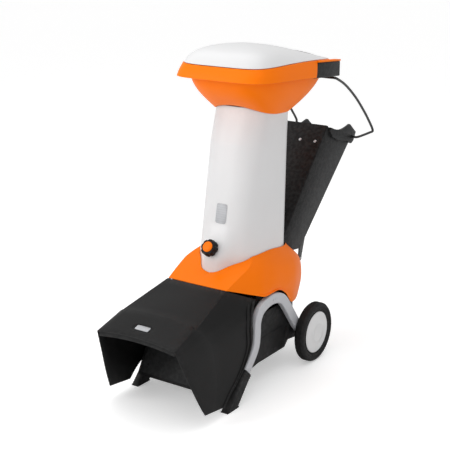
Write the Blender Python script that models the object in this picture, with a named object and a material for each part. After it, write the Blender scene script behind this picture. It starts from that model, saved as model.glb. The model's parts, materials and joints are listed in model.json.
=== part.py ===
"""Electric garden shredder: wheeled base, feed tower with bowl hopper, branch chute and discharge hood.

Metres, +Z up. The front, where the chips come out, faces -Y. Left is +X, seen from behind the machine.
Lengths below are measured from the wheel axle (y = 0) and from the ground (z = 0). The empty named machine
moves everything so that the origin lies under the middle of the whole machine.
"""
import math

import bmesh
import bpy
from mathutils import Matrix, Vector

# ---------------------------------------------------------------- driving dimensions
GAP = 0.0004                    # between pieces that touch
SHELL = 0.0035                  # wall of the plastic shells
SIDES = (("left", 1), ("right", -1))

# wheels and axle
WHEEL_R = 0.129
WHEEL_WIDTH = 0.046
TRACK_OUTER = 0.263             # outer face of a tyre from the middle plane
HUB_CAP_R = 0.090
WHEEL_BODY_R = 0.098
AXLE_R = 0.006
AXLE_PLAY = 0.0004
AXLE_Z = WHEEL_R

# lower housing
HOUSING_HALF = 0.190
HOUSING_REAR = 0.060
HOUSING_TOP = 0.305
HOUSING_FLOOR = 0.098
HOUSING_WALL = 0.004
RAMP_FOOT_Y = -0.655
RAMP_FOOT_Z = 0.060
RAMP_TOP_Y = -0.520
RAMP_PLATE = 0.003

# legs
LEG_BAND = 0.044                # width of the arch, seen from the side
LEG_THICK = 0.025
SLEEVE_WALL = 0.004
SLEEVE_LENGTH = 0.150
SLEEVE_FIT = 0.0009

# rotor and motor
ROTOR_Y = -0.140
MOTOR_R = 0.072
MOTOR_BOTTOM = 0.114
MOTOR_TOP = 0.296
DRUM_R = 0.172
DRUM_FLOOR = 0.326
DRUM_TOP = 0.424
DISC_R = 0.152
DISC_Z = 0.370
SHAFT_R = 0.0125
SHAFT_PLAY = 0.0006
BLADE = (0.105, 0.042, 0.005)

# tower
TOWER_HALF = 0.1365
TOWER_REAR = 0.002
TOWER_TOP = 1.118
TOWER_BOTTOM = 0.462            # at the front; the bottom edge rises towards the rear
TOWER_BOTTOM_RISE = 0.045
TOWER_UPRIGHT = 0.530
TOE_HALF = 0.066
TOE_TOP = 0.660
TOE_SLOPE = 0.130
TOE_REACH = 0.047
COVER_CLEARANCE = 0.0032
TILT_CLEARANCE = 0.012

# hopper: half width, front and rear of the plan at each height
BOWL_FOOT = TOWER_TOP + 0.006
BOWL_TOP = BOWL_FOOT + 0.134
RIM_TOP = BOWL_TOP + 0.033      # at the front; the edge arches and falls to the rear
RIM_ARCH = 0.009
RIM_TOP_FALL = 0.017
RIM_PLAN = (0.218, -0.379, 0.204)
SKIRT_PLAN = (0.2292 + SHELL, -0.4015 - SHELL, 0.1920 + SHELL)
SKIRT_Z = RIM_TOP - 0.049
SKIRT_FALL = 0.039
RIM_POWER = 5.0
HOOK_POWER = 3.4                # the rim's inner lip, rounder than the bowl
DOME_WALL = 0.003
BOWL_PLAN = (0.208, -0.369, 0.193)
BOWL_SWEEP = 2.2
BOWL_DIP = 0.028
DOME_RISE = 0.065
DOME_CROWN_Y = -0.200
DOME_STEEP = 5.5
DOME_SHALLOW = 1.3
DOME_CROWN_POWER = 2.2
DOME_OPENING_Y = 0.010

# branch chute
CHUTE_HALF = 0.104
CHUTE_WALL = 0.0025
CHUTE_FRONT_LOW = (-0.045, 0.528)
CHUTE_FRONT_TOP = (0.320, 0.960)
CHUTE_REAR_LOW = (0.078, 0.426)
CHUTE_REAR_TOP = (0.565, 0.889)
CHUTE_BOTTOM = 0.452
CHUTE_SEAM_DEPTH = 0.045
COLLAR_THICK = 0.012

# bail handle
BAIL_R = 0.0055
BAIL_HALF = 0.200

# hood
HOOD_WALL = 0.004
HOOD_GAP = 0.004
HOOD_EDGE = (-0.5235, 0.4470)   # rear edge of its top panel
HOOD_PIVOT = (-0.5252, 0.4423)
HOOD_PIN_R = 0.0015
HOOD_KNUCKLE_R = 0.0035
HOOD_EYE_X = 0.121
HOOD_EYE_WIDE = 0.006
PIN_PLAY = 0.0004

# tilt hinge
TILT_PIVOT = (0.115, 0.405)
TILT_PIN_R = 0.005
TILT_LUG_X = 0.094
TILT_BRACKET_X = 0.080

# knob
KNOB_R = 0.0355
KNOB_HEIGHT = 0.029
KNOB_TILT = math.radians(57)
KNOB_SEAT_Z = 0.566

# switch
BUTTON_R = 0.011
BUTTON_X = 0.196
BOX_INNER = 0.122
BOX_OUTER = 0.226
BOX_REAR = 0.197
BOX_LOW = RIM_TOP - 0.085
BOX_CORNERS = ((-0.010, BOX_LOW + 0.014), (BOX_REAR, BOX_LOW), (BOX_REAR, BOX_LOW + 0.062),
               (0.016, BOX_LOW + 0.075))
INLET_R = 0.018
INLET_X = 0.154

# flap
FLAP_LENGTH = 0.190
FLAP_THICK = 0.003

BAIL_CORNER = (0.571, 0.905)
HOOD_FRONT = -0.912
MIDDLE_Y = (HOOD_FRONT + BAIL_CORNER[0] + BAIL_R) / 2

# ---------------------------------------------------------------- scene helpers
for old in list(bpy.data.objects):
    bpy.data.objects.remove(old, do_unlink=True)


def material(name, colour, roughness, metallic=0.0):
    """A plain Principled material."""
    made = bpy.data.materials.new(name)
    made.use_nodes = True
    shader = made.node_tree.nodes["Principled BSDF"]
    shader.inputs["Base Color"].default_value = (*colour, 1.0)
    shader.inputs["Roughness"].default_value = roughness
    shader.inputs["Metallic"].default_value = metallic
    made.diffuse_color = (*colour, 1.0)
    return made


ORANGE = material("orange_plastic", (0.88, 0.19, 0.01), 0.38)
WHITE = material("white_plastic", (0.72, 0.72, 0.72), 0.35)
BLACK = material("black_plastic", (0.022, 0.022, 0.023), 0.55)
DARK = material("dark_grey_plastic", (0.045, 0.046, 0.048), 0.50)
LEG_GREY = material("leg_grey", (0.55, 0.55, 0.60), 0.40)
RUBBER = material("rubber", (0.015, 0.015, 0.015), 0.85)
STEEL = material("steel", (0.55, 0.55, 0.56), 0.30, 1.0)
BLACK_STEEL = material("black_steel", (0.02, 0.02, 0.02), 0.40, 0.6)
CAST = material("motor_aluminium", (0.40, 0.40, 0.41), 0.45, 1.0)
LABEL = material("label_grey", (0.42, 0.42, 0.43), 0.50)
GREEN = material("green_button", (0.02, 0.25, 0.05), 0.40)
RED = material("red_button", (0.50, 0.02, 0.02), 0.40)


def empty(name, location, parent=None):
    """An empty on a joint's axis, placed from the axle frame."""
    made = bpy.data.objects.new(name, None)
    bpy.context.collection.objects.link(made)
    made.location = Vector(location) - (BODY_AT[parent] if parent else Vector((0, 0, 0)))
    made.parent = parent
    BODY_AT[made] = Vector(location)
    return made


BODY_AT = {}
MACHINE = empty("machine", (0, 0, 0))
MACHINE.location = (0, -MIDDLE_Y, 0)


def place(name, bm, look, body=MACHINE, sharp=35):
    """Turn a bmesh in axle coordinates into an object that hangs on its body's empty."""
    bmesh.ops.remove_doubles(bm, verts=bm.verts, dist=1e-6)
    mesh = bpy.data.meshes.new(name)
    bm.to_mesh(mesh)
    bm.free()
    mesh.transform(Matrix.Translation(-BODY_AT[body]))
    mesh.shade_smooth()
    mesh.set_sharp_from_angle(angle=math.radians(sharp))
    mesh.materials.append(look)
    made = bpy.data.objects.new(name, mesh)
    bpy.context.collection.objects.link(made)
    made.parent = body
    return made


def solidify(piece, thickness):
    """Give an outward-facing skin a wall on its inner side."""
    wall = piece.modifiers.new("wall", "SOLIDIFY")
    wall.thickness = thickness
    wall.offset = -1.0
    wall.use_even_offset = True
    wall.use_rim = True
    return piece


def boolean(piece, cutter, operation="DIFFERENCE"):
    """Cut or join with a hidden guide object."""
    step = piece.modifiers.new(operation.lower(), "BOOLEAN")
    step.operation = operation
    step.object = cutter
    step.solver = "EXACT"
    cutter.hide_render = True
    cutter.display_type = "WIRE"
    return piece


def cut(piece, name, bm, body=MACHINE):
    """Subtract a closed bmesh from a piece."""
    return boolean(piece, place("cut_" + name, bm, BLACK, body))


def join(piece, name, bm, body=MACHINE):
    """Union a closed bmesh with a piece."""
    return boolean(piece, place("add_" + name, bm, BLACK, body), "UNION")


# ---------------------------------------------------------------- shape helpers
def box(low, high, bevel=0.0):
    """A box between two corners."""
    bm = bmesh.new()
    size = [abs(b - a) for a, b in zip(low, high)]
    middle = [(a + b) / 2 for a, b in zip(low, high)]
    bmesh.ops.create_cube(bm, size=1.0)
    bmesh.ops.scale(bm, vec=size, verts=bm.verts)
    bmesh.ops.translate(bm, vec=middle, verts=bm.verts)
    if bevel:
        bmesh.ops.bevel(bm, geom=list(bm.edges), offset=bevel, segments=2, affect="EDGES", profile=0.5)
    return bm


def rod(start, end, radius, segments=24, radius_end=None):
    """A cylinder or cone frustum between two points."""
    start, end = Vector(start), Vector(end)
    bm = bmesh.new()
    bmesh.ops.create_cone(bm, cap_ends=True, segments=segments, radius1=radius,
                          radius2=radius if radius_end is None else radius_end, depth=(end - start).length)
    turn = Vector((0, 0, 1)).rotation_difference(end - start).to_matrix().to_4x4()
    bmesh.ops.transform(bm, matrix=Matrix.Translation((start + end) / 2) @ turn, verts=bm.verts)
    return bm


def turned(profile, centre, axis, segments=40):
    """Turn a closed (radius, height) outline about an axis; height runs along the axis."""
    bm = bmesh.new()
    rings = []
    for step in range(segments):
        angle = 2 * math.pi * step / segments
        rings.append([bm.verts.new((r * math.cos(angle), r * math.sin(angle), h)) for r, h in profile])
    count = len(profile)
    for step in range(segments):
        here, there = rings[step], rings[(step + 1) % segments]
        for k in range(count):
            corner = [here[k], there[k], there[(k + 1) % count], here[(k + 1) % count]]
            bm.faces.new(corner)
    bmesh.ops.remove_doubles(bm, verts=bm.verts, dist=1e-6)
    bmesh.ops.dissolve_degenerate(bm, dist=1e-7, edges=bm.edges)
    bmesh.ops.recalc_face_normals(bm, faces=bm.faces)
    turn = Vector((0, 0, 1)).rotation_difference(Vector(axis)).to_matrix().to_4x4()
    bmesh.ops.transform(bm, matrix=Matrix.Translation(centre) @ turn, verts=bm.verts)
    return bm


def slab(outline, x_low, x_high):
    """A (y, z) outline extruded along X."""
    bm = bmesh.new()
    face = bm.faces.new([bm.verts.new((x_low, y, z)) for y, z in outline])
    moved = bmesh.ops.extrude_face_region(bm, geom=[face])
    new = [item for item in moved["geom"] if isinstance(item, bmesh.types.BMVert)]
    bmesh.ops.translate(bm, vec=(x_high - x_low, 0, 0), verts=new)
    bmesh.ops.recalc_face_normals(bm, faces=bm.faces)
    return bm


def skin(rows, loop=False):
    """An open sheet through rows of points; loop closes each row on itself."""
    bm = bmesh.new()
    grid = [[bm.verts.new(point) for point in row] for row in rows]
    for upper, lower in zip(grid, grid[1:]):
        last = len(upper) if loop else len(upper) - 1
        for k in range(last):
            n = (k + 1) % len(upper)
            bm.faces.new((upper[k], upper[n], lower[n], lower[k]))
    return bm


def solid_loft(rows):
    """A closed solid through closed rows of points, capped at both ends."""
    bm = skin(rows, loop=True)
    edges = [edge for edge in bm.edges if edge.is_boundary]
    bmesh.ops.holes_fill(bm, edges=edges, sides=0)
    bmesh.ops.recalc_face_normals(bm, faces=bm.faces)
    return bm


def tube_wall(outer, inner):
    """A closed thin wall between two stacks of closed rows, open at both ends."""
    bm = bmesh.new()
    stacks = [[[bm.verts.new(point) for point in row] for row in rows] for rows in (outer, inner)]
    count = len(outer[0])
    for rows in stacks:
        for upper, lower in zip(rows, rows[1:]):
            for k in range(count):
                n = (k + 1) % count
                bm.faces.new((upper[k], upper[n], lower[n], lower[k]))
    for end in (0, -1):
        for k in range(count):
            n = (k + 1) % count
            bm.faces.new((stacks[0][end][k], stacks[0][end][n], stacks[1][end][n], stacks[1][end][k]))
    bmesh.ops.recalc_face_normals(bm, faces=bm.faces)
    return bm


def spline(points, per_span, loop=False):
    """A smooth curve through points, with per_span steps between neighbours."""
    points = [Vector(point) for point in points]
    count = len(points)
    out = []
    for k in range(count if loop else count - 1):
        a, b, c, d = [points[(k + s) % count] if loop else points[min(max(k + s, 0), count - 1)]
                      for s in (-1, 0, 1, 2)]
        for step in range(per_span):
            t = step / per_span
            out.append(0.5 * ((2 * b) + (c - a) * t + (2 * a - 5 * b + 4 * c - d) * t * t
                              + (3 * b - a - 3 * c + d) * t ** 3))
    if not loop:
        out.append(points[-1])
    return out


def mirrored(half):
    """A full row from the points of its +X half, listed from the middle plane to the far end."""
    return [Vector((-p[0], p[1], p[2])) for p in reversed(half[1:])] + [Vector(p) for p in half]


def closed_ring(half):
    """A closed row from its +X half, which starts and ends on the middle plane."""
    return [Vector(p) for p in half] + [Vector((-p[0], p[1], p[2])) for p in reversed(half[1:-1])]


def oval(half_x, front, rear, height, power=2.8, count=40, dip=0.0, rear_dip=0.0):
    """A rounded rectangle in plan; dip lowers its sides, rear_dip its rear end."""
    middle, half_y = (front + rear) / 2, (rear - front) / 2
    row = []
    for step in range(count):
        angle = 2 * math.pi * step / count - math.pi / 2
        c, s = math.cos(angle), math.sin(angle)
        x = half_x * math.copysign(abs(c) ** (2 / power), c)
        y = middle + half_y * math.copysign(abs(s) ** (2 / power), s)
        back = (y - front) / (rear - front)
        row.append(Vector((x, y, height - dip * (x / half_x) ** 2 - rear_dip * back)))
    return row


# ---------------------------------------------------------------- wheels
def wheel(side_name, side):
    """Tyre, wheel body and hub cap of one wheel."""
    body = empty(side_name + "_wheel", (side * (TRACK_OUTER - WHEEL_WIDTH / 2), 0, AXLE_Z), MACHINE)
    inner = (side * (TRACK_OUTER - WHEEL_WIDTH), 0, AXLE_Z)
    out = (side, 0, 0)
    w, r = WHEEL_WIDTH, WHEEL_R
    seat = WHEEL_BODY_R + GAP
    tyre = [(seat, 0.006), (r - 0.012, 0.0), (r - 0.004, 0.004), (r, 0.011), (r, w - 0.011),
            (r - 0.004, w - 0.004),
            (r - 0.012, w), (seat, w - 0.006)]
    place("tyre_" + side_name, turned(tyre, inner, out, 36), RUBBER, body)
    bore = AXLE_R + AXLE_PLAY
    core = [(bore, 0.002), (0.024, 0.002), (0.024, 0.016), (0.074, 0.020), (0.074, 0.006),
            (WHEEL_BODY_R, 0.007), (WHEEL_BODY_R, w - 0.007), (HUB_CAP_R + 0.001, w - 0.007),
            (HUB_CAP_R + 0.001, w - 0.014), (0.080, w - 0.022), (0.020, w - 0.022), (bore, w - 0.022)]
    place("wheel_body_" + side_name, turned(core, inner, out, 28), BLACK, body)
    rim = HUB_CAP_R
    cap = [(0.0, w + 0.0045), (0.035, w + 0.0038), (0.065, w + 0.0015), (rim - 0.004, w - 0.003),
           (rim, w - 0.006), (rim, w - 0.0135), (rim - 0.004, w - 0.0135), (rim - 0.006, w - 0.007),
           (0.060, w - 0.002), (0.0, w + 0.001)]
    place("hub_cap_" + side_name, turned(cap, inner, out, 28), WHITE, body)


for label, sign in SIDES:
    wheel(label, sign)

axle_half = TRACK_OUTER - 0.020
place("axle", rod((-axle_half, 0, AXLE_Z), (axle_half, 0, AXLE_Z), AXLE_R), STEEL)
axle_cap_x = TRACK_OUTER - 0.0215
for label, sign in SIDES:
    cap_outline = [(AXLE_R + GAP, 0), (0.013, 0), (0.013, 0.004), (0.011, 0.008), (0.0, 0.008),
                   (0.0, 0.0021),
                   (AXLE_R + GAP, 0.0021)]
    place("axle_cap_" + label, turned(cap_outline, (sign * axle_cap_x, 0, AXLE_Z), (sign, 0, 0), 24), STEEL)


# ---------------------------------------------------------------- lower housing and ramp
def ramp_y(z):
    """The slanted front of the lower housing."""
    share = (z - RAMP_FOOT_Z) / (HOUSING_TOP - RAMP_FOOT_Z)
    return RAMP_FOOT_Y + share * (RAMP_TOP_Y - RAMP_FOOT_Y)


def housing_ring(z, inset=0.0):
    """Plan of the housing at one height; the bottom sinks towards the ramp."""
    half = HOUSING_HALF - inset
    rear = HOUSING_REAR - inset
    tuck = 0.03 if z < 0.16 else 0.0
    front = ramp_y(max(z, RAMP_FOOT_Z)) + inset * 1.2
    side = [(0, front, z), (half, front, z), (half, -0.36, z), (half, -0.125 - tuck, z),
            (half - 0.035, -0.035 - tuck, z), (half - 0.085, rear - 0.012 - tuck, z), (0, rear - tuck, z)]
    if z < HOUSING_FLOOR + 0.02:
        side[0] = (0, ramp_y(RAMP_FOOT_Z) + inset, RAMP_FOOT_Z + inset)
        side[1] = (half, ramp_y(RAMP_FOOT_Z) + inset, RAMP_FOOT_Z + inset)
    return closed_ring(side)


levels = [HOUSING_FLOOR, 0.155, 0.175, HOUSING_TOP]
housing = place("lower_housing", solid_loft([housing_ring(z) for z in levels]), BLACK)
inside = [HOUSING_FLOOR + HOUSING_WALL, 0.155, 0.175, HOUSING_TOP + 0.02]
cut(housing, "housing_hollow", solid_loft([housing_ring(z, HOUSING_WALL) for z in inside]))
for label, sign in SIDES:
    arm = slab([(-0.17, 0.125), (-0.17, 0.185), (-0.08, 0.178), (0.0, AXLE_Z + 0.024),
                (0.017, AXLE_Z + 0.017),
                (0.024, AXLE_Z), (0.017, AXLE_Z - 0.017), (0.0, AXLE_Z - 0.024)],
               sign * (HOUSING_HALF - 0.047), sign * (HOUSING_HALF - 0.005))
    join(housing, "axle_arm_" + label, arm)
cut(housing, "axle_bore", rod((-0.25, 0, AXLE_Z), (0.25, 0, AXLE_Z), AXLE_R + GAP))
plate_low, plate_high = 0.072, HOUSING_TOP - 0.006
place("chip_ramp", slab([(ramp_y(plate_low) - 0.0006, plate_low), (ramp_y(plate_high) - 0.0006, plate_high),
                         (ramp_y(plate_high) - 0.0006 - RAMP_PLATE, plate_high),
                         (ramp_y(plate_low) - 0.0006 - RAMP_PLATE, plate_low)],
                        -HOUSING_HALF + 0.004, HOUSING_HALF - 0.004), DARK)

# ---------------------------------------------------------------- legs
LEG_FOOT = (0.2220, -0.606, 0.012)
LEG_KNEE = (0.2195, -0.487, 0.137)
LEG_PATH = [LEG_FOOT, tuple((a + b) / 2 for a, b in zip(LEG_FOOT, LEG_KNEE)), LEG_KNEE,
            (0.2185, -0.437, 0.196),
            (0.2175, -0.424, 0.250), (0.2165, -0.419, 0.300), (0.2155, -0.393, 0.341),
            (0.2145, -0.340, 0.361),
            (0.2135, -0.282, 0.362), (0.2120, -0.225, 0.341), (0.2090, -0.180, 0.296),
            (0.2060, -0.130, 0.236),
            (0.2035, -0.085, 0.182), (0.2030, -0.035, 0.142), (0.2030, 0.004, AXLE_Z)]


def leg_rows(path, width, thick, side):
    """Rectangular sections with rounded corners, set square to a path near the YZ plane."""
    rows = []
    for k, point in enumerate(path):
        along = path[min(k + 1, len(path) - 1)] - path[max(k - 1, 0)]
        along = Vector((0, along.y, along.z)).normalized()
        across = Vector((0, -along.z, along.y))
        row = []
        for u, v in ((-1, -.7), (-.85, -1), (.85, -1), (1, -.7), (1, .7), (.85, 1), (-.85, 1), (-1, .7)):
            row.append(Vector((side * (point.x + v * thick / 2), point.y,
                               point.z)) + across * (u * width / 2))
        rows.append(row)
    return rows


def leg(side_name, side):
    """One arched leg with its rubber foot sleeve."""
    path = spline(LEG_PATH, 2)
    made = place("leg_" + side_name, solid_loft(leg_rows(path, LEG_BAND, LEG_THICK, side)), LEG_GREY)
    eye_x = LEG_PATH[-1][0]
    eye = rod((side * (eye_x - LEG_THICK / 2), 0, AXLE_Z), (side * (eye_x + LEG_THICK / 2), 0, AXLE_Z),
              0.026)
    join(made, "leg_eye_" + side_name, eye)
    hole = rod((side * 0.15, 0, AXLE_Z), (side * 0.23, 0, AXLE_Z), AXLE_R + GAP)
    cut(made, "leg_hole_" + side_name, hole)
    ground = box((side * 0.22 - 0.05, -0.75, -0.05), (side * 0.22 + 0.05, -0.40, SLEEVE_WALL + GAP))
    cut(made, "leg_ground_" + side_name, ground)
    foot = Vector(LEG_FOOT)
    way = (Vector(LEG_KNEE) - foot).normalized()
    ends = [foot - way * 0.040, foot, foot + way * SLEEVE_LENGTH * 0.5, foot + way * SLEEVE_LENGTH]
    grow = 2 * (SLEEVE_WALL + SLEEVE_FIT)
    sleeve = solid_loft(leg_rows(ends, LEG_BAND + grow, LEG_THICK + grow, side))
    shoe = place("foot_sleeve_" + side_name, sleeve, RUBBER)
    hollow = [foot - way * 0.030, foot, foot + way * 0.5 * SLEEVE_LENGTH,
              foot + way * (SLEEVE_LENGTH + 0.03)]
    cut(shoe, "sleeve_hollow_" + side_name,
        solid_loft(leg_rows(hollow, LEG_BAND + 2 * SLEEVE_FIT, LEG_THICK + 2 * SLEEVE_FIT, side)))
    join(shoe, "sleeve_sole_" + side_name,
         box((side * foot.x - LEG_THICK / 2 - SLEEVE_WALL, -0.652, 0.0),
             (side * foot.x + LEG_THICK / 2 + SLEEVE_WALL, -0.572, SLEEVE_WALL)))
    floor = box((side * 0.22 - 0.06, -0.80, -0.10), (side * 0.22 + 0.06, -0.50, 0.0))
    cut(shoe, "sleeve_ground_" + side_name, floor)


for label, sign in SIDES:
    leg(label, sign)

# ---------------------------------------------------------------- motor and rotor
centre = (0, ROTOR_Y, 0)
seat_z = MOTOR_TOP + GAP
motor = [(0.0, MOTOR_BOTTOM), (MOTOR_R - 0.010, MOTOR_BOTTOM), (MOTOR_R, MOTOR_BOTTOM + 0.012),
         (MOTOR_R, MOTOR_TOP), (SHAFT_R + SHAFT_PLAY, MOTOR_TOP), (SHAFT_R + SHAFT_PLAY, MOTOR_TOP - 0.020),
         (0.0, MOTOR_TOP - 0.020)]
place("motor_can", turned(motor, centre, (0, 0, 1)), CAST)
shield_top = seat_z + 0.016
place("motor_end_shield", turned([(SHAFT_R + SHAFT_PLAY, seat_z), (0.090, seat_z), (0.090, seat_z + 0.006),
                                  (0.045, seat_z + 0.007), (0.038, shield_top),
                                  (SHAFT_R + SHAFT_PLAY, shield_top)],
                                 centre, (0, 0, 1)), CAST)
place("run_capacitor", rod((HOUSING_HALF - 0.135, -0.330, 0.135), (HOUSING_HALF - 0.035, -0.330, 0.135), 0.022), LABEL)

drum = place("cutting_drum", turned([(SHAFT_R + SHAFT_PLAY + 0.004, DRUM_FLOOR), (DRUM_R, DRUM_FLOOR),
                                     (DRUM_R, DRUM_TOP), (DRUM_R - 0.004, DRUM_TOP),
                                     (DRUM_R - 0.004, DRUM_FLOOR + 0.004),
                                     (SHAFT_R + SHAFT_PLAY + 0.004, DRUM_FLOOR + 0.004)], centre, (0, 0, 1),
                                    48), DARK)
cut(drum, "drum_outlet", box((-0.115, ROTOR_Y - 0.20, DRUM_FLOOR + 0.005),
                             (0.115, ROTOR_Y - 0.10, DRUM_TOP + 0.01)))

INLET_HALF, INLET_FRONT, INLET_REAR = 0.095, -0.275, 0.000
lid_z = DRUM_TOP + GAP
lid = place("chamber_lid", turned([(0.0, lid_z), (DRUM_R, lid_z), (DRUM_R, lid_z + 0.004),
                                   (0.0, lid_z + 0.004)],
                                  centre, (0, 0, 1), 48), DARK)
join(lid, "lid_feed_floor", box((-CHUTE_HALF - 0.004, -0.02, lid_z), (CHUTE_HALF + 0.004, 0.070, lid_z + 0.004)))
collar = tube_wall([oval(INLET_HALF + 0.004, INLET_FRONT - 0.004, INLET_REAR + 0.004, z, 5, 32)
                    for z in (lid_z + 0.002, lid_z + 0.014)],
                   [oval(INLET_HALF, INLET_FRONT, INLET_REAR, z, 5, 32) for z in (lid_z + 0.002,
                                                                                  lid_z + 0.014)])
join(lid, "lid_collar", collar)
cut(lid, "lid_inlet", solid_loft([oval(INLET_HALF, INLET_FRONT, INLET_REAR, z, 5, 32)
                                  for z in (lid_z - 0.01, lid_z + 0.03)]))
place("counter_blade", box((-0.012, ROTOR_Y - 0.090, lid_z - 0.0300),
                           (0.012, ROTOR_Y - 0.155, lid_z - 0.0005)),
      STEEL)

rotor = empty("blade_rotor", (0, ROTOR_Y, DISC_Z), MACHINE)
place("motor_shaft", rod((0, ROTOR_Y, MOTOR_TOP - 0.019), (0, ROTOR_Y, DISC_Z - GAP), SHAFT_R), STEEL,
      rotor)
disc_top = DISC_Z + 0.008
place("blade_disc", turned([(0.0, DISC_Z), (DISC_R, DISC_Z), (DISC_R, disc_top), (0.0, disc_top)],
                           centre, (0, 0, 1), 48), STEEL, rotor)
long, wide, thick = BLADE
blade_low = disc_top + GAP
for label, sign in SIDES:
    place("blade_" + label, box((sign * 0.035, ROTOR_Y - wide / 2, blade_low),
                                (sign * (0.035 + long), ROTOR_Y + wide / 2, blade_low + thick)), STEEL,
          rotor)
fan_low = DRUM_FLOOR + 0.010
fan = place("thrower_fan", turned([(0.030, fan_low), (0.066, fan_low), (0.066, fan_low + 0.003),
                                   (0.030, fan_low + 0.003)],
                                  centre, (0, 0, 1), 32), STEEL, rotor)
for turn in range(4):
    wing = box((0.058, -0.002, fan_low), (DISC_R - 0.006, 0.002, DISC_Z - GAP))
    spin = Matrix.Translation((0, ROTOR_Y, 0)) @ Matrix.Rotation(math.pi / 4 + turn * math.pi / 2, 4, "Z")
    bmesh.ops.transform(wing, matrix=spin, verts=wing.verts)
    join(fan, "fan_wing_" + str(turn), wing, rotor)
place("blade_bolt", rod((0, ROTOR_Y, disc_top + GAP), (0, ROTOR_Y, disc_top + 0.010), 0.016, 6), STEEL,
      rotor)

# ---------------------------------------------------------------- base cover
cover_edge = HOOD_EDGE[0] + HOOD_GAP
cover_front = [[(0, cover_edge, 0.4478), (0.070, cover_edge, 0.4480), (0.141, cover_edge + 0.001, 0.4482)],
               [(0, -0.478, 0.462), (0.070, -0.472, 0.466), (0.149, -0.436, 0.482)],
               [(0, -0.450, 0.470), (0.070, -0.440, 0.481), (0.150, -0.366, 0.508)],
               [(0, -0.412, 0.482), (0.045, -0.405, 0.497), (0.116, -0.287, 0.540)]]
cover_side = [[(0.2045, -0.3950, 0.4030), (0.2175, -0.360, 0.393), (0.2175, -0.310, 0.3925),
               (0.2155, -0.255, 0.390),
               (0.2125, -0.200, 0.360), (0.204, -0.125, 0.295), (0.170, -0.020, 0.290),
               (0.105, 0.065, 0.290),
               (0, 0.082, 0.290)],
              [(0.194, -0.368, 0.455), (0.208, -0.315, 0.436), (0.2135, -0.270, 0.424),
               (0.214, -0.215, 0.408),
               (0.212, -0.150, 0.390), (0.201, -0.080, 0.375), (0.168, 0.012, 0.370), (0.104, 0.088, 0.370),
               (0, 0.102, 0.370)],
              [(0.174, -0.312, 0.498), (0.184, -0.272, 0.489), (0.189, -0.235, 0.481),
               (0.191, -0.185, 0.470),
               (0.189, -0.120, 0.458), (0.178, -0.055, 0.450), (0.150, 0.015, 0.445), (0.100, 0.070, 0.440),
               (0, 0.086, 0.440)],
              [(0.121, -0.255, 0.545), (0.124, -0.225, 0.547), (0.126, -0.190, 0.546),
               (0.127, -0.145, 0.540),
               (0.126, -0.100, 0.530), (0.120, -0.055, 0.519), (0.103, -0.020, 0.510),
               (0.062, -0.008, 0.505),
               (0, -0.006, 0.503)]]


def cover_ring(level):
    """One closed ring of the cover, from the hood edge round the leg arch to the rear."""
    front = spline(cover_front[level], 2)
    side = spline([cover_front[level][-1]] + cover_side[level], 2)
    return closed_ring(front[:-1] + side)


def blend_rings(a, b, share):
    """A ring between two others."""
    return [p.lerp(q, share) for p, q in zip(a, b)]


rings = [cover_ring(level) for level in range(4)]
belly = [Vector((p.x * 1.004, p.y, p.z)) for p in blend_rings(rings[0], rings[1], 0.5)]
cover_rows = [rings[0], belly, rings[1], rings[2], blend_rings(rings[2], rings[3], 0.5), rings[3]]
cover = solidify(place("base_cover", skin(cover_rows, loop=True), ORANGE), SHELL)


# ---------------------------------------------------------------- tower
def tower_front(z):
    """Front line of the tower without its toe; upright at its foot, so that it lifts out of the cover."""
    if z > 0.975:
        return -0.2975 + (z - 0.975) * 0.36
    return -0.2975 - (0.975 - max(z, TOWER_UPRIGHT)) * 0.200


def toe_reach(z):
    """How far the toe under the knob stands out."""
    share = min(max((TOE_TOP - z) / TOE_SLOPE, 0.0), 1.0)
    return TOE_REACH * share * share * (3 - 2 * share)


def tower_ring(z, grow=0.0, rear_grow=None, flat=False, count=40):
    """Plan of the tower at one height, with the toe added on its front."""
    front = tower_front(z) - grow
    rear = TOWER_REAR + (grow if rear_grow is None else rear_grow)
    row = []
    for p in oval(TOWER_HALF + grow, front, rear, z, 2.9, count):
        if p.y < (front + rear) / 2:
            p.y -= toe_reach(z) * math.exp(-(p.x / TOE_HALF) ** 4)
        if flat:
            p.z += TOWER_BOTTOM_RISE * (p.y - front) / (rear - front)
        row.append(p)
    return row


feed = empty("feed_unit", (0, *TILT_PIVOT), MACHINE)
tower_levels = [0.515, 0.540, 0.565, 0.590, 0.620, 0.660, 0.800, 0.975, TOWER_TOP]
outer_rows = [tower_ring(TOWER_BOTTOM, flat=True)] + [tower_ring(z) for z in tower_levels]
inner_rows = [tower_ring(TOWER_BOTTOM, -SHELL, flat=True)] + [tower_ring(z, -SHELL) for z in tower_levels]
tower = place("tower", tube_wall(outer_rows, inner_rows), WHITE, feed)
grown = [tower_ring(z, COVER_CLEARANCE, TILT_CLEARANCE) for z in [0.40, TOWER_BOTTOM] + tower_levels[:-1]]
cut(cover, "tower_seat", solid_loft(grown))


# ---------------------------------------------------------------- branch chute
def along(low, top, z):
    """The point at height z on a line of the chute."""
    share = (z - low[1]) / (top[1] - low[1])
    return (low[0] + share * (top[0] - low[0]), z)


def inward(low, top, depth, point):
    """Move a point of the front line into the chute, square to that line."""
    y, z = top[0] - low[0], top[1] - low[1]
    size = math.hypot(y, z)
    return (point[0] + depth * z / size, point[1] - depth * y / size)


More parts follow.
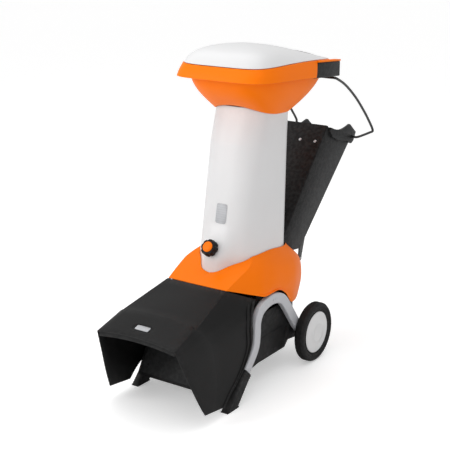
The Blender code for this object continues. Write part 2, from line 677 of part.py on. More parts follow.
front_low = along(CHUTE_FRONT_LOW, CHUTE_FRONT_TOP, CHUTE_BOTTOM + 0.045)
rear_low = along(CHUTE_REAR_LOW, CHUTE_REAR_TOP, CHUTE_BOTTOM)
seam_low = inward(CHUTE_FRONT_LOW, CHUTE_FRONT_TOP, CHUTE_SEAM_DEPTH, front_low)
seam_top = inward(CHUTE_FRONT_LOW, CHUTE_FRONT_TOP, CHUTE_SEAM_DEPTH, CHUTE_FRONT_TOP)
rear_cut_low = inward(CHUTE_FRONT_LOW, CHUTE_FRONT_TOP, CHUTE_SEAM_DEPTH + 0.001, front_low)
rear_cut_top = inward(CHUTE_FRONT_LOW, CHUTE_FRONT_TOP, CHUTE_SEAM_DEPTH + 0.001, CHUTE_FRONT_TOP)


def channel(edge_low, edge_top, back_low, back_top):
    """A U-shaped sheet: two sides from an edge line to a back line, and the back between them."""
    h = CHUTE_HALF
    low = [(-h, *edge_low), (-h, *back_low), (h, *back_low), (h, *edge_low)]
    top = [(-h, *edge_top), (-h, *back_top), (h, *back_top), (h, *edge_top)]
    return [low, top]


front_shell = skin(channel(seam_low, seam_top, front_low, CHUTE_FRONT_TOP))
front_shell = solidify(place("chute_front_shell", front_shell, BLACK, feed), CHUTE_WALL)
rear_shell = skin(channel(rear_cut_low, rear_cut_top, rear_low, CHUTE_REAR_TOP))
bmesh.ops.reverse_faces(rear_shell, faces=rear_shell.faces)
rear_shell = solidify(place("chute_rear_shell", rear_shell, DARK, feed), CHUTE_WALL)


def chute_prism(grow, z_low):
    """The chute's outer form, grown all round, as a cutter."""
    low_front = along(CHUTE_FRONT_LOW, CHUTE_FRONT_TOP, z_low)
    low_rear = along(CHUTE_REAR_LOW, CHUTE_REAR_TOP, z_low)
    outline = [(low_front[0] - grow * 1.3, low_front[1]), (CHUTE_FRONT_TOP[0] - grow * 1.3,
                                                           CHUTE_FRONT_TOP[1]),
               (CHUTE_REAR_TOP[0] + grow * 1.5, CHUTE_REAR_TOP[1]), (low_rear[0] + grow * 1.5, low_rear[1])]
    return slab(outline, -CHUTE_HALF - grow, CHUTE_HALF + grow)


cut(tower, "chute_entry", chute_prism(0.0015, 0.40), feed)
notch = [(-0.05, 0.420), (-0.05, 0.62), (0.16, 0.62), (0.16, 0.420)]
cut(cover, "chute_notch", slab(notch, -CHUTE_HALF - 0.004, CHUTE_HALF + 0.004))

# collar plates at the mouth, with a hollowed top edge
hollow_arc = [(y, 0.951 - 0.013 * (y - 0.335) / 0.177 - 0.018 * math.sin(math.pi * (y - 0.335) / 0.177))
              for y in [0.335 + k * 0.177 / 6 for k in range(7)]]
collar_outline = hollow_arc + [(CHUTE_REAR_TOP[0] + 0.004, CHUTE_REAR_TOP[1] + 0.004), (0.549, 0.857),
                               (0.527, 0.846),
                               (0.500, 0.862), (0.462, 0.868), (0.400, 0.884), (0.352, 0.905),
                               (0.330, 0.935)]
for label, sign in SIDES:
    inner_x = CHUTE_HALF + GAP
    plate = place("collar_" + label, slab(collar_outline, sign * inner_x, sign * (inner_x + COLLAR_THICK)),
                  DARK, feed)
    cut(plate, "collar_hole_" + label,
        rod((sign * (inner_x - 0.004), 0.527, 0.878), (sign * (inner_x + 0.036), 0.527, 0.878), BAIL_R + GAP, 12), feed)

# three bright screws hold the flap's strip
screw_spot = along(CHUTE_FRONT_LOW, CHUTE_FRONT_TOP, 0.896)
out_start = inward(CHUTE_FRONT_LOW, CHUTE_FRONT_TOP, -GAP, screw_spot)
out_end = inward(CHUTE_FRONT_LOW, CHUTE_FRONT_TOP, -0.004, screw_spot)
screw_x = CHUTE_HALF - 0.028
for label, x in (("left", screw_x), ("middle", 0.0), ("right", -screw_x)):
    place("flap_screw_" + label, rod((x, *out_start), (x, *out_end), 0.006, 12), STEEL, feed)
strip_outline = []
for height, depth in ((0.885, 0.003), (0.907, 0.003), (0.907, 0.0055), (0.885, 0.0055)):
    strip_outline.append(inward(CHUTE_FRONT_LOW, CHUTE_FRONT_TOP, depth,
                                along(CHUTE_FRONT_LOW, CHUTE_FRONT_TOP, height)))
FLAP_HALF = CHUTE_HALF - 0.012
place("flap_strip", slab(strip_outline, -FLAP_HALF, FLAP_HALF), STEEL, feed)
FLAP_AT = inward(CHUTE_FRONT_LOW, CHUTE_FRONT_TOP, 0.009, along(CHUTE_FRONT_LOW, CHUTE_FRONT_TOP, 0.880))
flap_body = empty("chute_flap_axis", (0, *FLAP_AT), feed)
place("chute_flap", box((-FLAP_HALF, FLAP_AT[0] - FLAP_THICK / 2, FLAP_AT[1] - FLAP_LENGTH),
                        (FLAP_HALF, FLAP_AT[0] + FLAP_THICK / 2, FLAP_AT[1] + 0.002)), RUBBER, flap_body)

# ---------------------------------------------------------------- hopper
def bowl_ring(share, inset=0.0):
    """A ring of the bowl's wall, from its foot round the tower (0) to its top (1)."""
    half, front, rear = BOWL_PLAN
    sweep = 1 - (1 - share) ** BOWL_SWEEP
    rear_sweep = 1 - (1 - share) ** (BOWL_SWEEP + 0.5)
    foot_half, foot_front, foot_rear = TOWER_HALF + 0.0045, tower_front(BOWL_FOOT) - 0.013, TOWER_REAR + 0.0045
    dip = BOWL_DIP * (1 - share) ** 2
    return oval(foot_half + (half - foot_half) * sweep - inset,
                foot_front + (front - foot_front) * sweep + inset,
                foot_rear + (rear - foot_rear) * rear_sweep - inset,
                BOWL_FOOT + share * (BOWL_TOP - BOWL_FOOT),
                3.0 + 0.6 * share, 40, dip, dip / 2)


bowl_shares = (0.0, 0.12, 0.28, 0.48, 0.72, 1.0)
bowl = place("hopper_bowl", tube_wall([bowl_ring(share) for share in bowl_shares],
                                      [bowl_ring(share, SHELL) for share in bowl_shares]), ORANGE, feed)
ledge = tube_wall([tower_ring(z, -SHELL - GAP * 2) for z in (TOWER_TOP - 0.068, TOWER_TOP + 0.020)],
                  [tower_ring(z, -SHELL * 2 - GAP * 2) for z in (TOWER_TOP - 0.068, TOWER_TOP + 0.020)])
place("hopper_neck", ledge, BLACK, feed)


def arch(share, height, rise, fall):
    """Height of an edge that arches on its way from front (0) to rear (1) and falls."""
    return height + 4 * rise * share * (1 - share) - fall * share * (1 + share) / 2


def rim_row(plan, grow, height, rise=RIM_ARCH, fall=RIM_TOP_FALL, power=RIM_POWER):
    """A ring of the rim; grow widens its plan."""
    half, front, rear = plan
    row = oval(half + grow, front - grow, rear + grow, 0.0, power, 40)
    for p in row:
        p.z = arch((p.y - front + grow) / (rear - front + 2 * grow), height, rise, fall)
    return row


hook_in = 0.013 + 2 * SHELL
rim_rows = [rim_row(SKIRT_PLAN, 0.0, SKIRT_Z, 0.003, SKIRT_FALL), rim_row(RIM_PLAN, 0.001, RIM_TOP - 0.003),
            rim_row(RIM_PLAN, -0.002, RIM_TOP), rim_row(RIM_PLAN, 0.0025 - hook_in, RIM_TOP, power=HOOK_POWER),
            rim_row(RIM_PLAN, -hook_in, RIM_TOP - 0.0025, power=HOOK_POWER),
            rim_row(RIM_PLAN, -hook_in, RIM_TOP - 0.025, power=HOOK_POWER)]
rim = solidify(place("hopper_rim", skin(rim_rows, loop=True), ORANGE, feed), SHELL)


def box_room(deeper):
    """The switch box's side outline, grown by the gap and by more at the bottom and the rear."""
    front_low, rear_low, rear_top, front_top = BOX_CORNERS
    outline = [(front_low[0] - GAP, front_low[1] - GAP), (front_low[0] - GAP, front_low[1] - GAP - deeper),
               (rear_low[0], rear_low[1] - GAP - deeper), (rear_low[0] + 0.05, rear_low[1] - GAP - deeper),
               (rear_top[0] + 0.05, rear_top[1] + GAP), (rear_top[0], rear_top[1] + GAP),
               (front_top[0] - GAP, front_top[1] + GAP)]
    return slab(outline, BOX_INNER - GAP, BOX_OUTER + 0.05)


cut(rim, "rim_box_seat", box_room(0.030), feed)
cut(bowl, "bowl_box_seat", box_room(0.0005), feed)

dome_rows = []
for share in (1.0, 0.96, 0.90, 0.80, 0.66, 0.48, 0.28, 0.10):
    row = rim_row(RIM_PLAN, -0.0035, RIM_TOP + DOME_WALL + GAP)
    for p in row:
        back = (p.y - RIM_PLAN[1]) / (RIM_PLAN[2] - RIM_PLAN[1])
        edge_power = DOME_STEEP + (DOME_SHALLOW - DOME_STEEP) * back
        steep = DOME_CROWN_POWER + (edge_power - DOME_CROWN_POWER) * share
        p.x *= share
        p.y = DOME_CROWN_Y + (p.y - DOME_CROWN_Y) * share
        p.z += DOME_RISE * (1 - share ** steep)
    dome_rows.append(row)
dome_skin = skin(dome_rows, loop=True)
crown_ring = [vert for vert in dome_skin.verts if (vert.co.xy - Vector((0, DOME_CROWN_Y))).length < 0.035]
crown_edges = [edge for edge in dome_skin.edges if edge.is_boundary and edge.verts[0] in crown_ring]
bmesh.ops.holes_fill(dome_skin, edges=crown_edges, sides=0)
dome = solidify(place("dome_cover", dome_skin, WHITE, feed), DOME_WALL)
opening = oval(0.150, DOME_OPENING_Y, 0.170, 0.0, 4.0, 24)
cut(dome, "feed_opening", solid_loft([[Vector((p.x, p.y, z)) for p in opening] for z in (RIM_TOP - 0.09, RIM_TOP + 0.16)]),
    feed)

# ---------------------------------------------------------------- switch box
box_body = slab(BOX_CORNERS, BOX_INNER, BOX_OUTER)
bmesh.ops.bevel(box_body, geom=list(box_body.edges), offset=0.003, segments=2, affect="EDGES", profile=0.5)
switch_box = place("switch_box", box_body, DARK, feed)
face_z = (BOX_CORNERS[1][1] + BOX_CORNERS[2][1]) / 2
for name, z, look in (("start_button", face_z + 0.0145, GREEN), ("stop_button", face_z - 0.0145, RED)):
    cut(switch_box, name + "_well", rod((BUTTON_X, BOX_REAR - 0.014, z), (BUTTON_X, BOX_REAR + 0.01, z),
                                        BUTTON_R + 0.0006), feed)
    axis = empty(name + "_axis", (BUTTON_X, BOX_REAR, z), feed)
    place(name, turned([(0.0, 0.0), (BUTTON_R, 0.0), (BUTTON_R, 0.0100), (BUTTON_R - 0.002, 0.0120),
                        (0.0, 0.0125)],
                       (BUTTON_X, BOX_REAR - 0.0075, z), (0, 1, 0), 20), look, axis)
place("mains_inlet", turned([(0.0, 0.0), (INLET_R, 0.0), (INLET_R, 0.018), (INLET_R - 0.003, 0.024),
                             (INLET_R - 0.006, 0.024), (INLET_R - 0.006, 0.010), (0.0, 0.010)],
                            (INLET_X, BOX_REAR + GAP, face_z), (0, 1, 0), 20), BLACK, feed)


# ---------------------------------------------------------------- bail handle
def bail_half(side):
    """One half of the bail, from its pin in the collar plate to the crossbar."""
    points = [(CHUTE_HALF + 0.003, 0.527, 0.878), (CHUTE_HALF + 0.021, 0.527, 0.878),
              (CHUTE_HALF + 0.041, 0.529, 0.8785),
              (0.170, 0.545, 0.889), (0.190, 0.562, 0.899), (BAIL_HALF, *BAIL_CORNER),
              (BAIL_HALF, 0.566, 0.920),
              (BAIL_HALF, 0.535, 0.955), (BAIL_HALF, 0.485, 1.006), (BAIL_HALF, 0.395, 1.085),
              (BAIL_HALF, 0.301, BOX_LOW - 0.056), (BAIL_HALF, 0.226, BOX_LOW - 0.020),
              (0.190, 0.212, BOX_LOW - 0.014), (0.165, 0.209, BOX_LOW - 0.013)]
    return [(side * x, y, z) for x, y, z in points]


right_half = bail_half(-1)
left_half = bail_half(1)
bail_points = spline(right_half + list(reversed(left_half)), 2)
bail_curve = bpy.data.curves.new("bail_handle", "CURVE")
bail_curve.dimensions = "3D"
bail_curve.bevel_depth = BAIL_R
bail_curve.bevel_resolution = 1
bail_curve.use_fill_caps = True
bail_curve.materials.append(BLACK_STEEL)
line = bail_curve.splines.new("POLY")
line.points.add(len(bail_points) - 1)
for spot, p in zip(line.points, bail_points):
    spot.co = (*(p - BODY_AT[feed]), 1.0)
bail = bpy.data.objects.new("bail_handle", bail_curve)
bpy.context.collection.objects.link(bail)
bail.parent = feed

# ---------------------------------------------------------------- label, knob
label_z = (0.6605, 0.740)
label_back = [(tower_front(z) - 2 * GAP, z) for z in label_z]
label_face = [(y - 0.0012, z) for y, z in label_back]
place("tower_label", slab(label_back + label_face[::-1], -0.022, 0.028), LABEL, feed)
knob_axis = Vector((0, -math.sin(KNOB_TILT), math.cos(KNOB_TILT)))
seat = Vector((0, tower_front(KNOB_SEAT_Z) - toe_reach(KNOB_SEAT_Z), KNOB_SEAT_Z))
knob = empty("knob_axis", seat, feed)
grip_start = seat + knob_axis * 0.0025
grip = bmesh.new()
flutes = 8
profile_rows = []
for height, scale in ((0.0, 0.90), (0.004, 1.0), (KNOB_HEIGHT - 0.006, 0.97), (KNOB_HEIGHT, 0.86)):
    row = []
    for step in range(48):
        angle = 2 * math.pi * step / 48
        radius = (KNOB_R - 0.0018 * (1 - math.cos(flutes * angle))) * scale
        row.append(Vector((radius * math.cos(angle), radius * math.sin(angle), height)))
    profile_rows.append(row)
grip = solid_loft(profile_rows)
turn = Vector((0, 0, 1)).rotation_difference(knob_axis).to_matrix().to_4x4()
bmesh.ops.transform(grip, matrix=Matrix.Translation(grip_start) @ turn, verts=grip.verts)
place("knob_grip", grip, BLACK, knob)
cap_start = grip_start + knob_axis * (KNOB_HEIGHT + GAP)
place("knob_cap", turned([(0.0, 0.0), (0.0215, 0.0), (0.0205, 0.004), (0.016, 0.0060), (0.0, 0.0066)],
                         cap_start, knob_axis, 32), ORANGE, knob)
place("knob_stud", rod(grip_start - knob_axis * GAP, seat - knob_axis * 0.030, 0.005), STEEL, knob)
cut(tower, "stud_hole", rod(seat + knob_axis * 0.03, seat - knob_axis * 0.020, 0.0062), feed)

# ---------------------------------------------------------------- discharge hood
hood_crease_back = (0.141, HOOD_EDGE[0], HOOD_EDGE[1] + 0.0005)
hood_rows_half = [
    [(0, *HOOD_EDGE), hood_crease_back, (0.205, -0.4070, 0.3915), (0.2235, -0.4560, 0.3350),
     (0.2280, -0.4600, 0.2340), (0.2300, -0.5030, 0.1640), (0.2325, -0.5650, 0.1130),
     (0.2340, -0.6320, 0.0700),
     (0.2350, -0.6680, 0.0360)],
    [(0, -0.7700, 0.3790), (0.178, -0.7700, 0.3790), (0.1920, -0.7350, 0.3480), (0.2030, -0.7080, 0.2950),
     (0.2100, -0.6950, 0.2250), (0.2170, -0.6950, 0.1700), (0.2240, -0.7050, 0.1180),
     (0.2300, -0.7200, 0.0780),
     (0.2350, -0.7300, 0.0440)],
    [(0, -0.7760, 0.3810), (0.1782, -0.7760, 0.3810), (0.1922, -0.7420, 0.3490), (0.2031, -0.7150, 0.2955),
     (0.2101, -0.7010, 0.2255), (0.2171, -0.7010, 0.1705), (0.2241, -0.7100, 0.1185),
     (0.2300, -0.7240, 0.0785),
     (0.2350, -0.7330, 0.0445)],
    [(0, HOOD_FRONT, 0.3380), (0.1850, HOOD_FRONT, 0.3380), (0.1910, -0.8990, 0.3050),
     (0.1990, -0.8780, 0.2500),
     (0.2080, -0.8580, 0.2000), (0.2160, -0.8400, 0.1550), (0.2230, -0.8230, 0.1150),
     (0.2290, -0.8070, 0.0800),
     (0.2350, -0.7930, 0.0520)]]
hood_rows = [mirrored(half) for half in hood_rows_half]
hood_skin = skin(hood_rows)
bmesh.ops.reverse_faces(hood_skin, faces=hood_skin.faces)
hood_body = empty("hood_axis", (0, *HOOD_PIVOT), MACHINE)
hood = solidify(place("discharge_hood", hood_skin, DARK, hood_body), HOOD_WALL)
py, pz = HOOD_PIVOT
knuckle = [(py + HOOD_KNUCKLE_R * math.cos(math.radians(a)),
            pz + HOOD_KNUCKLE_R * math.sin(math.radians(a)))
           for a in range(90, 270, 30)]
hood_knuckle = [(py - 0.022, pz - 0.0078), (py - 0.022, pz - 0.0033)]
hood_knuckle += [(py + HOOD_KNUCKLE_R * math.cos(math.radians(a)),
                  pz + HOOD_KNUCKLE_R * math.sin(math.radians(a)))
                 for a in range(75, -91, -33)]
cover_under = [(cover_edge + 0.0300, 0.4570 - SHELL), (cover_edge + 0.0012, 0.4473 - SHELL)]
eye_outline = knuckle + [(py, pz - HOOD_KNUCKLE_R - 0.001), (cover_edge + 0.0300, 0.4410)] + cover_under
for label, sign in SIDES:
    eye_low, eye_high = HOOD_EYE_X - HOOD_EYE_WIDE / 2, HOOD_EYE_X + HOOD_EYE_WIDE / 2
    bar_low, bar_high = eye_low - 0.009, eye_high + 0.009
    join(hood, "hood_knuckle_" + label, slab(hood_knuckle, sign * bar_low, sign * bar_high), hood_body)
    cut(hood, "hood_notch_" + label, box((sign * (eye_low - 0.0008), py - 0.006, pz - 0.010),
                                         (sign * (eye_high + 0.0008), py + 0.010, pz + 0.010)), hood_body)
    bore = rod((sign * (bar_low - 0.003), py, pz), (sign * (bar_high + 0.003), py, pz),
               HOOD_PIN_R + PIN_PLAY, 12)
    cut(hood, "hood_bore_" + label, bore, hood_body)
    bracket = place("hood_bracket_" + label, slab(eye_outline, sign * eye_low, sign * eye_high),
                    BLACK_STEEL)
    bore = rod((sign * (eye_low - 0.01), py, pz), (sign * (eye_high + 0.01), py, pz), HOOD_PIN_R + GAP, 12)
    cut(bracket, "bracket_bore_" + label, bore)
    pin = rod((sign * bar_low, py, pz), (sign * bar_high, py, pz), HOOD_PIN_R, 12)
    place("hood_pin_" + label, pin, STEEL)

# ---------------------------------------------------------------- tilt hinge
lug_outline = [inward(CHUTE_REAR_LOW, CHUTE_REAR_TOP, 0.0004, along(CHUTE_REAR_LOW, CHUTE_REAR_TOP, z))
               for z in (0.456, 0.500)]
ty, tz = TILT_PIVOT
lug_outline += [(ty + 0.013, tz + 0.006), (ty + 0.013, tz - 0.006), (ty + 0.006, tz - 0.013),
                (ty - 0.006, tz - 0.013),
                (ty - 0.012, tz - 0.004)]
strap = [inward(CHUTE_REAR_LOW, CHUTE_REAR_TOP, depth, along(CHUTE_REAR_LOW, CHUTE_REAR_TOP, z))
         for depth, z in ((0.0004, 0.472), (0.0004, 0.500), (0.0044, 0.500), (0.0044, 0.472))]
lugs = place("tilt_lugs", slab(strap, -TILT_LUG_X - 0.001, TILT_LUG_X + 0.001), BLACK_STEEL, feed)
for label, sign in SIDES:
    join(lugs, "tilt_lug_" + label, slab(lug_outline, sign * TILT_LUG_X, sign * (TILT_LUG_X + 0.006)), feed)
cut(lugs, "tilt_lug_bore", rod((-0.12, ty, tz), (0.12, ty, tz), TILT_PIN_R + PIN_PLAY), feed)
hinge_outline = [(HOUSING_REAR + 0.001, 0.190), (HOUSING_REAR + 0.001, 0.270), (0.1085, 0.300),
                 (0.1085, 0.380),
                 (ty - 0.012, tz), (ty - 0.007, tz + 0.010), (ty + 0.007, tz + 0.010), (ty + 0.013, tz),
                 (ty + 0.013, 0.290), (0.090, 0.220)]
hinge = place("tilt_bracket", box((-TILT_BRACKET_X - 0.001, HOUSING_REAR + GAP, 0.200),
                                  (TILT_BRACKET_X + 0.001, HOUSING_REAR + 0.004, 0.260)), BLACK_STEEL)
for label, sign in SIDES:
    join(hinge, "tilt_ear_" + label, slab(hinge_outline, sign * TILT_BRACKET_X,
                                          sign * (TILT_BRACKET_X + 0.006)))
cut(hinge, "tilt_bracket_bore", rod((-0.12, ty, tz), (0.12, ty, tz), TILT_PIN_R + GAP))
place("tilt_pin", rod((-0.104, ty, tz), (0.104, ty, tz), TILT_PIN_R), STEEL)
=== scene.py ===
"""Looks of the electric garden shredder: shells, fittings, finishes and studio, built round the CAD frame.

Metres, +Z up. Lengths in the shape functions are measured from the wheel axle (y = 0), as in the maker's
drawings; the function piece() moves each mesh to its place in the frame.
"""
import json
import math

import bmesh
import bpy
from mathutils import Matrix, Vector


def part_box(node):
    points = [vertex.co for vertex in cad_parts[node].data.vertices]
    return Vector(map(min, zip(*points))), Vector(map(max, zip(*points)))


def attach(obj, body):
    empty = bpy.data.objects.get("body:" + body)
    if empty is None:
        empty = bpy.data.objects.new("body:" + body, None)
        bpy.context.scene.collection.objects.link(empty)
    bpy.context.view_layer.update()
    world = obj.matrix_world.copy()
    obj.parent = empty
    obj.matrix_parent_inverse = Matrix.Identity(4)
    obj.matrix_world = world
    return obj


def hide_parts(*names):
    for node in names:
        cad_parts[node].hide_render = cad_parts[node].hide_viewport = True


bl_info = {
    "name": "Garden shredder looks",
    "version": (1, 0, 0),
    "blender": (4, 5, 0),
    "location": "View3D > Sidebar > Shredder",
    "description": "Builds the shells, fittings and finishes of a garden shredder round its CAD frame",
    "category": "Object",
}

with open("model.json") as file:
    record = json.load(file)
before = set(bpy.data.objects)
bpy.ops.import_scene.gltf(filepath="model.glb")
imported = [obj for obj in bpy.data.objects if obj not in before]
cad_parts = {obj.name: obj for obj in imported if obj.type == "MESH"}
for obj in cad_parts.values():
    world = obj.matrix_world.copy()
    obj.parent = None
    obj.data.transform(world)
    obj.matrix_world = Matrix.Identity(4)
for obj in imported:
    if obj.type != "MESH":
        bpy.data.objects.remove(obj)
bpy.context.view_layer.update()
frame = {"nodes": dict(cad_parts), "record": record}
SIDES = (("left", 1), ("right", -1))
SLOT_OF = {part["node"]: part["material_slot"] for part in frame["record"]["subparts"]}
BODY_OF = {name: body for body, names in frame["record"]["behaviour"]["bodies"].items() for name in names}


def middle(node, axis):
    """Middle of a CAD node along one axis."""
    low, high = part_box(node)
    return (low[axis] + high[axis]) / 2


AXLE_Y = middle("axle", 1)
AXLE_Z = middle("axle", 2)

# ---------------------------------------------------------------- driving dimensions, from the axle
GAP = 0.0004
SHELL = 0.0035
TOWER_HALF, TOWER_REAR, TOWER_TOP = 0.1365, 0.002, 1.118
TOWER_BOTTOM, TOWER_BOTTOM_RISE, TOWER_UPRIGHT = 0.462, 0.045, 0.530
TOE_HALF, TOE_TOP, TOE_SLOPE, TOE_REACH = 0.066, 0.660, 0.130, 0.047
COVER_CLEARANCE, TILT_CLEARANCE = 0.0032, 0.012
RIM_TOP, RIM_ARCH, RIM_TOP_FALL = 1.291, 0.009, 0.017
RIM_PLAN = (0.218, -0.379, 0.204)
SKIRT_PLAN = (0.2327, -0.405, 0.1955)
SKIRT_Z, SKIRT_FALL = 1.2420, 0.039
RIM_POWER, HOOK_POWER = 5.0, 3.4
BOWL_PLAN = (0.208, -0.369, 0.193)
BOWL_TOP, BOWL_FOOT, BOWL_SWEEP, BOWL_DIP = 1.258, 1.124, 2.2, 0.028
DOME_WALL, DOME_RISE, DOME_CROWN_Y = 0.003, 0.065, -0.200
DOME_STEEP, DOME_SHALLOW, DOME_CROWN_POWER = 5.5, 1.3, 2.2
DOME_OPENING = (0.150, 0.010, 0.170)
CHUTE_HALF, CHUTE_WALL, CHUTE_SEAM_DEPTH, CHUTE_BOTTOM = 0.104, 0.0025, 0.045, 0.452
CHUTE_FRONT_LOW, CHUTE_FRONT_TOP = (-0.045, 0.528), (0.320, 0.960)
CHUTE_REAR_LOW, CHUTE_REAR_TOP = (0.078, 0.426), (0.565, 0.889)
BAIL_R, BAIL_HALF, BAIL_CORNER = 0.0055, 0.200, (0.571, 0.905)
HOOD_WALL, HOOD_GAP, HOOD_FRONT = 0.004, 0.004, -0.912
HOOD_EDGE = (-0.5235, 0.4470)
HOOD_PIVOT = (-0.5252, 0.4423)
BOX_INNER, BOX_OUTER, BOX_REAR = 0.122, 0.226, 0.197
BOX_CORNERS = ((-0.010, 1.220), (BOX_REAR, 1.206), (BOX_REAR, 1.268), (0.016, 1.281))
LEG_BAND, LEG_THICK = 0.044, 0.025
LEG_PATH = [(0.2220, -0.606, 0.012), (0.22075, -0.5465, 0.0745), (0.2195, -0.487, 0.137),
            (0.2185, -0.437, 0.196), (0.2175, -0.424, 0.250), (0.2165, -0.419, 0.300),
            (0.2155, -0.393, 0.341), (0.2145, -0.340, 0.361), (0.2135, -0.282, 0.362),
            (0.2120, -0.225, 0.341), (0.2090, -0.180, 0.296), (0.2060, -0.130, 0.236),
            (0.2035, -0.085, 0.182), (0.2030, -0.035, 0.142), (0.2030, 0.004, 0.129)]
WHEEL_R, WHEEL_WIDTH, TRACK_OUTER, WHEEL_BODY_R, HUB_CAP_R = 0.129, 0.046, 0.263, 0.098, 0.090
KNOB_R, KNOB_HEIGHT, KNOB_TILT, KNOB_SEAT_Z = 0.0355, 0.029, math.radians(57), 0.566
RING = 120                      # points round a shell
WELD = 1e-6                     # points closer than this are one point
RIM_BULGE, RIM_MIDDLE = 0.0016, -0.09
DOME_RINGS, DOME_TIP_SHARE = 28, 0.06
BUTTONS_X, INLET_X = 0.196, 0.154
KNOB_POINTS, KNOB_FLUTES = 160, 8
HOOD_PLATE, KNUCKLE_R = (-0.004, -0.860), 0.0035
LEG_EYE_X, LEG_EYE_R, LEG_HOLE_R = 0.203, 0.026, 0.0064

# ---------------------------------------------------------------- studio and dust
CAMERA_LENS, CAMERA_SENSOR = 86.48, 36.0
CAMERA_PLACE, CAMERA_DOWN, CAMERA_TURN = (2.3818, -3.6248, 1.8866), 0.286999, 0.601488
LAMP_AIM = (0, 0, 0.6)
FLOOR_HALF, FLOOR_GLOW = 40.0, 0.36
SKY_LIGHT, SKY_SEEN = 0.66, 1.05
PLASTIC_DUST, METAL_DUST, DUST_HEIGHT = (0.30, 0.26, 0.20), (0.25, 0.22, 0.18), 0.30


# ---------------------------------------------------------------- shape helpers
def spline(points, per_span):
    """A smooth curve through points, with per_span steps between neighbours."""
    points = [Vector(point) for point in points]
    out = []
    for k in range(len(points) - 1):
        a, b, c, d = [points[min(max(k + s, 0), len(points) - 1)] for s in (-1, 0, 1, 2)]
        for step in range(per_span):
            t = step / per_span
            out.append(0.5 * ((2 * b) + (c - a) * t + (2 * a - 5 * b + 4 * c - d) * t * t
                              + (3 * b - a - 3 * c + d) * t ** 3))
    out.append(points[-1])
    return out


def straight(points, per_span):
    """A polyline through points, with per_span steps between neighbours."""
    points = [Vector(point) for point in points]
    out = []
    for a, b in zip(points, points[1:]):
        out += [a.lerp(b, step / per_span) for step in range(per_span)]
    return out + [points[-1]]


def smooth_step(low, high, value):
    """0 below low, 1 above high and an S curve between them."""
    share = min(max((value - low) / (high - low), 0.0), 1.0)
    return share * share * (3 - 2 * share)


def mirrored(half):
    """A full row from the points of its +X half, listed from the middle plane to the far end."""
    return [Vector((-p[0], p[1], p[2])) for p in reversed(half[1:])] + [Vector(p) for p in half]


def closed_ring(half):
    """A closed row from its +X half, which starts and ends on the middle plane."""
    return [Vector(p) for p in half] + [Vector((-p[0], p[1], p[2])) for p in reversed(half[1:-1])]


def oval(half_x, front, rear, height, power=2.8, count=RING, dip=0.0, rear_dip=0.0):
    """A rounded rectangle in plan; dip lowers its sides, rear_dip its rear end."""
    centre, half_y = (front + rear) / 2, (rear - front) / 2
    row = []
    for step in range(count):
        angle = 2 * math.pi * step / count - math.pi / 2
        c, s = math.cos(angle), math.sin(angle)
        x = half_x * math.copysign(abs(c) ** (2 / power), c)
        y = centre + half_y * math.copysign(abs(s) ** (2 / power), s)
        back = (y - front) / (rear - front)
        row.append(Vector((x, y, height - dip * (x / half_x) ** 2 - rear_dip * back)))
    return row


def skin(rows, loop=False):
    """An open sheet through rows of points; loop closes each row on itself."""
    bm = bmesh.new()
    grid = [[bm.verts.new(point) for point in row] for row in rows]
    for upper, lower in zip(grid, grid[1:]):
        last = len(upper) if loop else len(upper) - 1
        for k in range(last):
            n = (k + 1) % len(upper)
            bm.faces.new((upper[k], upper[n], lower[n], lower[k]))
    return bm


def solid_loft(rows):
    """A closed solid through closed rows of points, capped at both ends."""
    bm = skin(rows, loop=True)
    bmesh.ops.holes_fill(bm, edges=[edge for edge in bm.edges if edge.is_boundary], sides=0)
    bmesh.ops.recalc_face_normals(bm, faces=bm.faces)
    return bm


def tube_wall(outer, inner):
    """A closed thin wall between two stacks of closed rows, open at both ends."""
    bm = bmesh.new()
    stacks = [[[bm.verts.new(point) for point in row] for row in rows] for rows in (outer, inner)]
    count = len(outer[0])
    quads = []
    for rows in stacks:
        for upper, lower in zip(rows, rows[1:]):
            quads += [(upper[k], upper[(k + 1) % count], lower[(k + 1) % count],
                       lower[k]) for k in range(count)]
    for end in (0, -1):
        a, b = stacks[0][end], stacks[1][end]
        quads += [(a[k], a[(k + 1) % count], b[(k + 1) % count], b[k]) for k in range(count)]
    for quad in quads:
        bm.faces.new(quad)
    bmesh.ops.recalc_face_normals(bm, faces=bm.faces)
    return bm


def box(low, high):
    """A box between two corners."""
    bm = bmesh.new()
    bmesh.ops.create_cube(bm, size=1.0)
    bmesh.ops.scale(bm, vec=[abs(b - a) for a, b in zip(low, high)], verts=bm.verts)
    bmesh.ops.translate(bm, vec=[(a + b) / 2 for a, b in zip(low, high)], verts=bm.verts)
    return bm


def slab(outline, x_low, x_high):
    """A (y, z) outline extruded along X."""
    bm = bmesh.new()
    face = bm.faces.new([bm.verts.new((x_low, y, z)) for y, z in outline])
    moved = bmesh.ops.extrude_face_region(bm, geom=[face])
    new = [item for item in moved["geom"] if isinstance(item, bmesh.types.BMVert)]
    bmesh.ops.translate(bm, vec=(x_high - x_low, 0, 0), verts=new)
    bmesh.ops.recalc_face_normals(bm, faces=bm.faces)
    return bm


def side_slab(outline, sign, near, far):
    """A (y, z) outline between two distances from the middle plane, on one side of it."""
    return slab(outline, *sorted((sign * near, sign * far)))


def turn_to(axis):
    """The rotation that takes +Z to an axis."""
    return Vector((0, 0, 1)).rotation_difference(Vector(axis)).to_matrix().to_4x4()


def rod(start, end, radius, segments=48):
    """A cylinder between two points."""
    start, end = Vector(start), Vector(end)
    bm = bmesh.new()
    bmesh.ops.create_cone(bm, cap_ends=True, segments=segments, radius1=radius, radius2=radius,
                          depth=(end - start).length)
    bmesh.ops.transform(bm, matrix=Matrix.Translation((start + end) / 2) @ turn_to(end - start),
                        verts=bm.verts)
    return bm


